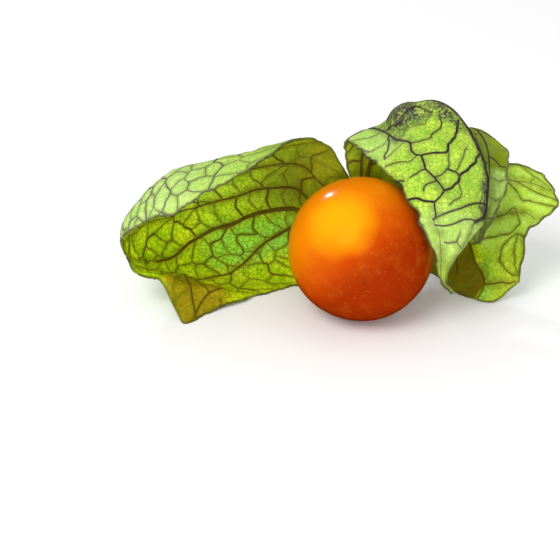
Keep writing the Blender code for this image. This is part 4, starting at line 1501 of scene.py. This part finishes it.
# %% Vein strands
def vein_strands(name, strong, faint, pale, roughness):
    """A vein's own colour, patchy, from its faint tint to its strong one, and paler where the tissue is pale."""
    def build(add, place):
        patches = add("TexNoise", {"Vector": place, "Scale": scale_of(1.2), "Detail": 3.0})
        patches = add("MapRange", (patches, 0.35, 0.7, -0.15, 0.2), **SMOOTH)
        dark, paleness = (add("Attribute", out="Fac", attribute_name=part) for part in ("darkness", "pale"))
        fibres = add("TexNoise", {"Vector": place, "Scale": scale_of(0.3), "Detail": 2.0})
        coats = [(1.0, faint), (add("Math", (dark, patches), **PLUS), strong),
                 (add("Math", (paleness, 0.8), **TIMES), pale)]
        return coats, {"Roughness": roughness, "Specular IOR Level": 0.3,
                       "Normal": add("Bump", {"Height": fibres, "Strength": 0.4, "Distance": 0.05 * MM})}
    return finish(name, build)


outer_veins.data.materials.append(vein_strands("husk_outer_veins", "#35222E", "#7E8C3A", "#74706A", 0.6))
inner_veins.data.materials.append(vein_strands("husk_inner_veins", "#644C02", "#7A8604", "#667430", 0.65))

# %% [markdown]
# ## Berry skin
#
# Under a glossy, waxed skin the flesh is full of juice, so light wanders some millimetres through it before it
# comes back out, and the shaded side glows a deep red orange instead of turning grey. The colour is painted too:
# the skin deepens to red away from the ripe and lit side, partly its own ripening and partly painted shade, and a
# golden patch is painted where the broad light from the upper left falls, a painted pool of light. The skin pales
# round the stalk, has a scatter of tiny pale dots, and keeps a brown scar where the flower was.

# %% Berry skin
# Painted light and shade on the berry: the first way points to the broad light from the upper left, and the skin
# that faces it is painted golden, a painted pool of light. The second points to the ripe and lit side, and away
# from it the red is deepened, partly the fruit's own colour and partly painted shade.
PAINTED_LIGHT_TOWARD, RIPE_AND_LIT_SIDE = (-0.3, -0.64, 0.71), (-0.6, 0.38, 0.7)
DOT_SPACING = 0.8  # mm; real pores are closer and finer, and only the plainest are drawn
blossom_end = tuple((BERRY_CENTRE - (0, BERRY_LENGTH_RADIUS + STYLE_POINT, 0)) * MM)


def berry_skin(add, place):
    """The berry's coats of colour, its gloss and its glow."""
    broad, small, dimples = (
        add("TexNoise", {"Vector": place, "Scale": scale_of(size), "Detail": detail, "Roughness": roughness})
        for size, detail, roughness in ((9.0, 2.0, 0.5), (1.6, 4.0, 0.55), (0.5, 3.0, 0.5)))
    from_middle = add("VectorMath", (place, tuple(BERRY_CENTRE * MM)), operation="SUBTRACT")
    uneven = add("MapRange", (broad, 0.3, 0.7, -0.4 * MM, 0.4 * MM), **SMOOTH)
    painted_light_side, ripe_and_lit_side = (
        add("Math", (add("VectorMath", (from_middle, way), "Value", operation="DOT_PRODUCT"), uneven), **PLUS)
        for way in (PAINTED_LIGHT_TOWARD, RIPE_AND_LIT_SIDE))
    dots = add("TexVoronoi", {"Vector": place, "Scale": scale_of(DOT_SPACING)}, "Distance", feature="F1")
    toward_stalk = add("SeparateXYZ", (place,), "Y")
    scar_gap = add("VectorMath", (place, blossom_end), "Value", operation="DISTANCE")
    # The ground is the deepest red, and the next two coats lighten it towards the ripe and lit side, so the far
    # side is partly the fruit's own deep colour and partly painted shade.
    coats = [(1.0, "#9C2C00")] + [(add("MapRange", limits, **SMOOTH), tint) for limits, tint in (
        ((ripe_and_lit_side, -4.0 * MM, 0.5 * MM), "#C04600"),
        ((ripe_and_lit_side, -1.0 * MM, 6.2 * MM), "#E67C00"),
        # A painted pool of light: golden where the skin faces the broad light from the upper left.
        ((painted_light_side, 7.7 * MM, 9.65 * MM, 0.0, 0.9), "#FFAA04"),
        ((small, 0.45, 0.75, 0.0, 0.09), "#FF9A08"),
        ((dots, 0.05, 0.16, 0.22, 0.0), "#FFB428"),
        ((toward_stalk, 7.6 * MM, 9.2 * MM, 0.0, 0.7), "#E8B93A"),
        ((scar_gap, 0.15 * MM, 0.34 * MM, 0.85, 0.0), "#6A3A08"),
    )]
    return coats, {
        "Roughness": add("MapRange", (small, 0.3, 0.7, 0.14, 0.2), **SMOOTH),
        "Normal": add("Bump", {"Height": dimples, "Strength": 0.12, "Distance": 0.04 * MM}),
        "Subsurface Weight": 0.3,
        "Subsurface Radius": (1.0, 0.3, 0.05),
        "Subsurface Scale": 3.0 * MM,
        "IOR": 1.38,
        "Specular IOR Level": 0.45,
    }


berry.data.materials.append(finish("berry_skin", berry_skin))

# %% [markdown]
# ## Stalk bark
#
# The stalk is green where it is young, under the husk, and dries to a straw brown towards its broken end. Its
# streaks are one noise, squeezed so that it draws out along the stalk.


# %% Stalk bark
def stalk_bark(add, place):
    """The stalk's colour and relief, in streaks drawn out along it."""
    stretched = add("Mapping", {"Vector": place, "Scale": (1.0, 0.22, 0.6)})
    streaks = add("TexNoise", {"Vector": stretched, "Scale": scale_of(0.35), "Detail": 4.0, "Roughness": 0.6})
    streaky = add("MapRange", (streaks, 0.35, 0.65), **SMOOTH)
    dried = add("MapRange", (add("SeparateXYZ", (place,), "Y"), 13 * MM, 21 * MM), **SMOOTH)
    green, brown = (add("Mix", {0: streaky, 6: light(bright), 7: light(dull)}, 2, **COLOURS)
                    for bright, dull in (("#7E9A34", "#5C7422"), ("#A58A4A", "#6E5526")))
    return [(1.0, green), (dried, brown)], {
        "Roughness": add("MapRange", (streaks, 0.3, 0.7, 0.5, 0.72), **SMOOTH),
        "Normal": add("Bump", {"Height": streaks, "Strength": 0.6, "Distance": 0.08 * MM}),
        "Subsurface Weight": 0.1,
        "Subsurface Radius": (1.0, 1.0, 0.4),
        "Subsurface Scale": 0.6 * MM,
    }


stalk.data.materials.append(finish("stalk_bark", stalk_bark))

# %% [markdown]
# ## Onto the frame
#
# Every piece rides on the one body of the frame and stands for its solid there. The veins and the tissue are
# one husk, so all three of those stand for the same solid.

# %% Onto the frame
for piece, node, slot_name in (
    (berry, "berry", "berry_skin"),
    (husk, "husk", "husk_sheet"),
    (outer_veins, "husk", "husk_sheet"),
    (inner_veins, "husk", "husk_sheet"),
    (stalk, "stem", "stalk"),
):
    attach(piece, "root")
    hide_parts(node)
    print(f"{piece.name} stands for {node}")

# %% [markdown]
# ## The table
#
# The fruit lies on a plain white table, far wider than the view. Painted laminate is matt, so it has hardly any
# gloss, and it isn't mirrored in the berry.

# %% The table
FLOOR_HALF = 1600  # mm
SCENE = bpy.context.scene


def matt_laminate(add, place):
    """White with the faintest unevenness."""
    uneven = add("TexNoise", {"Vector": place, "Scale": scale_of(60.0), "Detail": 2.0})
    return [(1.0, "#FBFBFB"), (uneven, "#FDFDFD")], {"Roughness": 0.8, "Specular IOR Level": 0.1}


corners = [(x * FLOOR_HALF, y * FLOOR_HALF, 0.0) for x, y in ((-1, -1), (1, -1), (1, 1), (-1, 1))]
floor = new_mesh("table_top", corners, [(0, 1, 2, 3)])
floor.data.materials.append(finish("table_white_laminate", matt_laminate))
floor.visible_glossy = False

# %% [markdown]
# ## Light
#
# A small softbox behind and to the left puts the bright spot on the berry and lights the husk through. A broad
# soft light from the upper left fills the front, and another low in front keeps the undersides open. Both
# broad ones are hidden from glossy reflections, because a large white patch would grey the berry's skin.

# %% Light
world = bpy.data.worlds.new("studio")
world.use_nodes = True
world.node_tree.nodes["Background"].inputs["Color"].default_value = (1.0, 1.0, 1.0, 1.0)
world.node_tree.nodes["Background"].inputs["Strength"].default_value = 0.64
world.cycles_visibility.glossy = False
SCENE.world = world
SCENE.view_settings.view_transform = "Standard"


def softbox(name, toward, distance_mm, side_mm, watts, glossy=True):
    """A square soft light, seen from the fruit in one direction, and turned to face it."""
    lamp = bpy.data.lights.new(name, "AREA")
    lamp.shape, lamp.size, lamp.energy = "SQUARE", side_mm * MM, watts
    thing = bpy.data.objects.new(name, lamp)
    SCENE.collection.objects.link(thing)
    away = Vector(toward).normalized()
    thing.location = Vector(BERRY_CENTRE * MM) + away * distance_mm * MM
    thing.rotation_euler = away.to_track_quat("Z", "Y").to_euler()
    thing.visible_glossy = glossy
    return thing


softbox("key_softbox", (-0.41, 0.76, 0.50), 430, 28, 0.22)
softbox("fill_softbox", (-0.42, -0.55, 0.72), 600, 300, 1.9, glossy=False)
softbox("front_softbox", (0.2, -0.94, 0.26), 700, 400, 1.8, glossy=False)

print("lamps:", ", ".join(lamp.name for lamp in bpy.data.lights))

# %% [markdown]
# ## Camera
#
# The camera looks down at 28 degrees from about 200 mm, as one would at fruit on a table, and aims a little to
# the left of the berry and below it, so that the husk lies to the right of the middle.

# %% Camera
ELEVATION = math.radians(28)
CAMERA_DISTANCE = 202.2
AIM_RIGHT, AIM_UP = 10.53, 4.03
camera_look = np.array([0.0, math.cos(ELEVATION), -math.sin(ELEVATION)])
camera_up = np.array([0.0, math.sin(ELEVATION), math.cos(ELEVATION)])
aim = BERRY_CENTRE - np.array([AIM_RIGHT, 0, 0]) - camera_up * AIM_UP
lens = bpy.data.cameras.new("camera")
lens.lens, lens.sensor_width, lens.clip_start = 100, 36, 0.01
camera = bpy.data.objects.new("camera", lens)
SCENE.collection.objects.link(camera)
camera.location = Vector((aim - camera_look * CAMERA_DISTANCE) * MM)
camera.rotation_euler = (math.pi / 2 - ELEVATION, 0, 0)
SCENE.camera = camera
print("the camera stands", round(CAMERA_DISTANCE), "mm away, 28 degrees above the table")
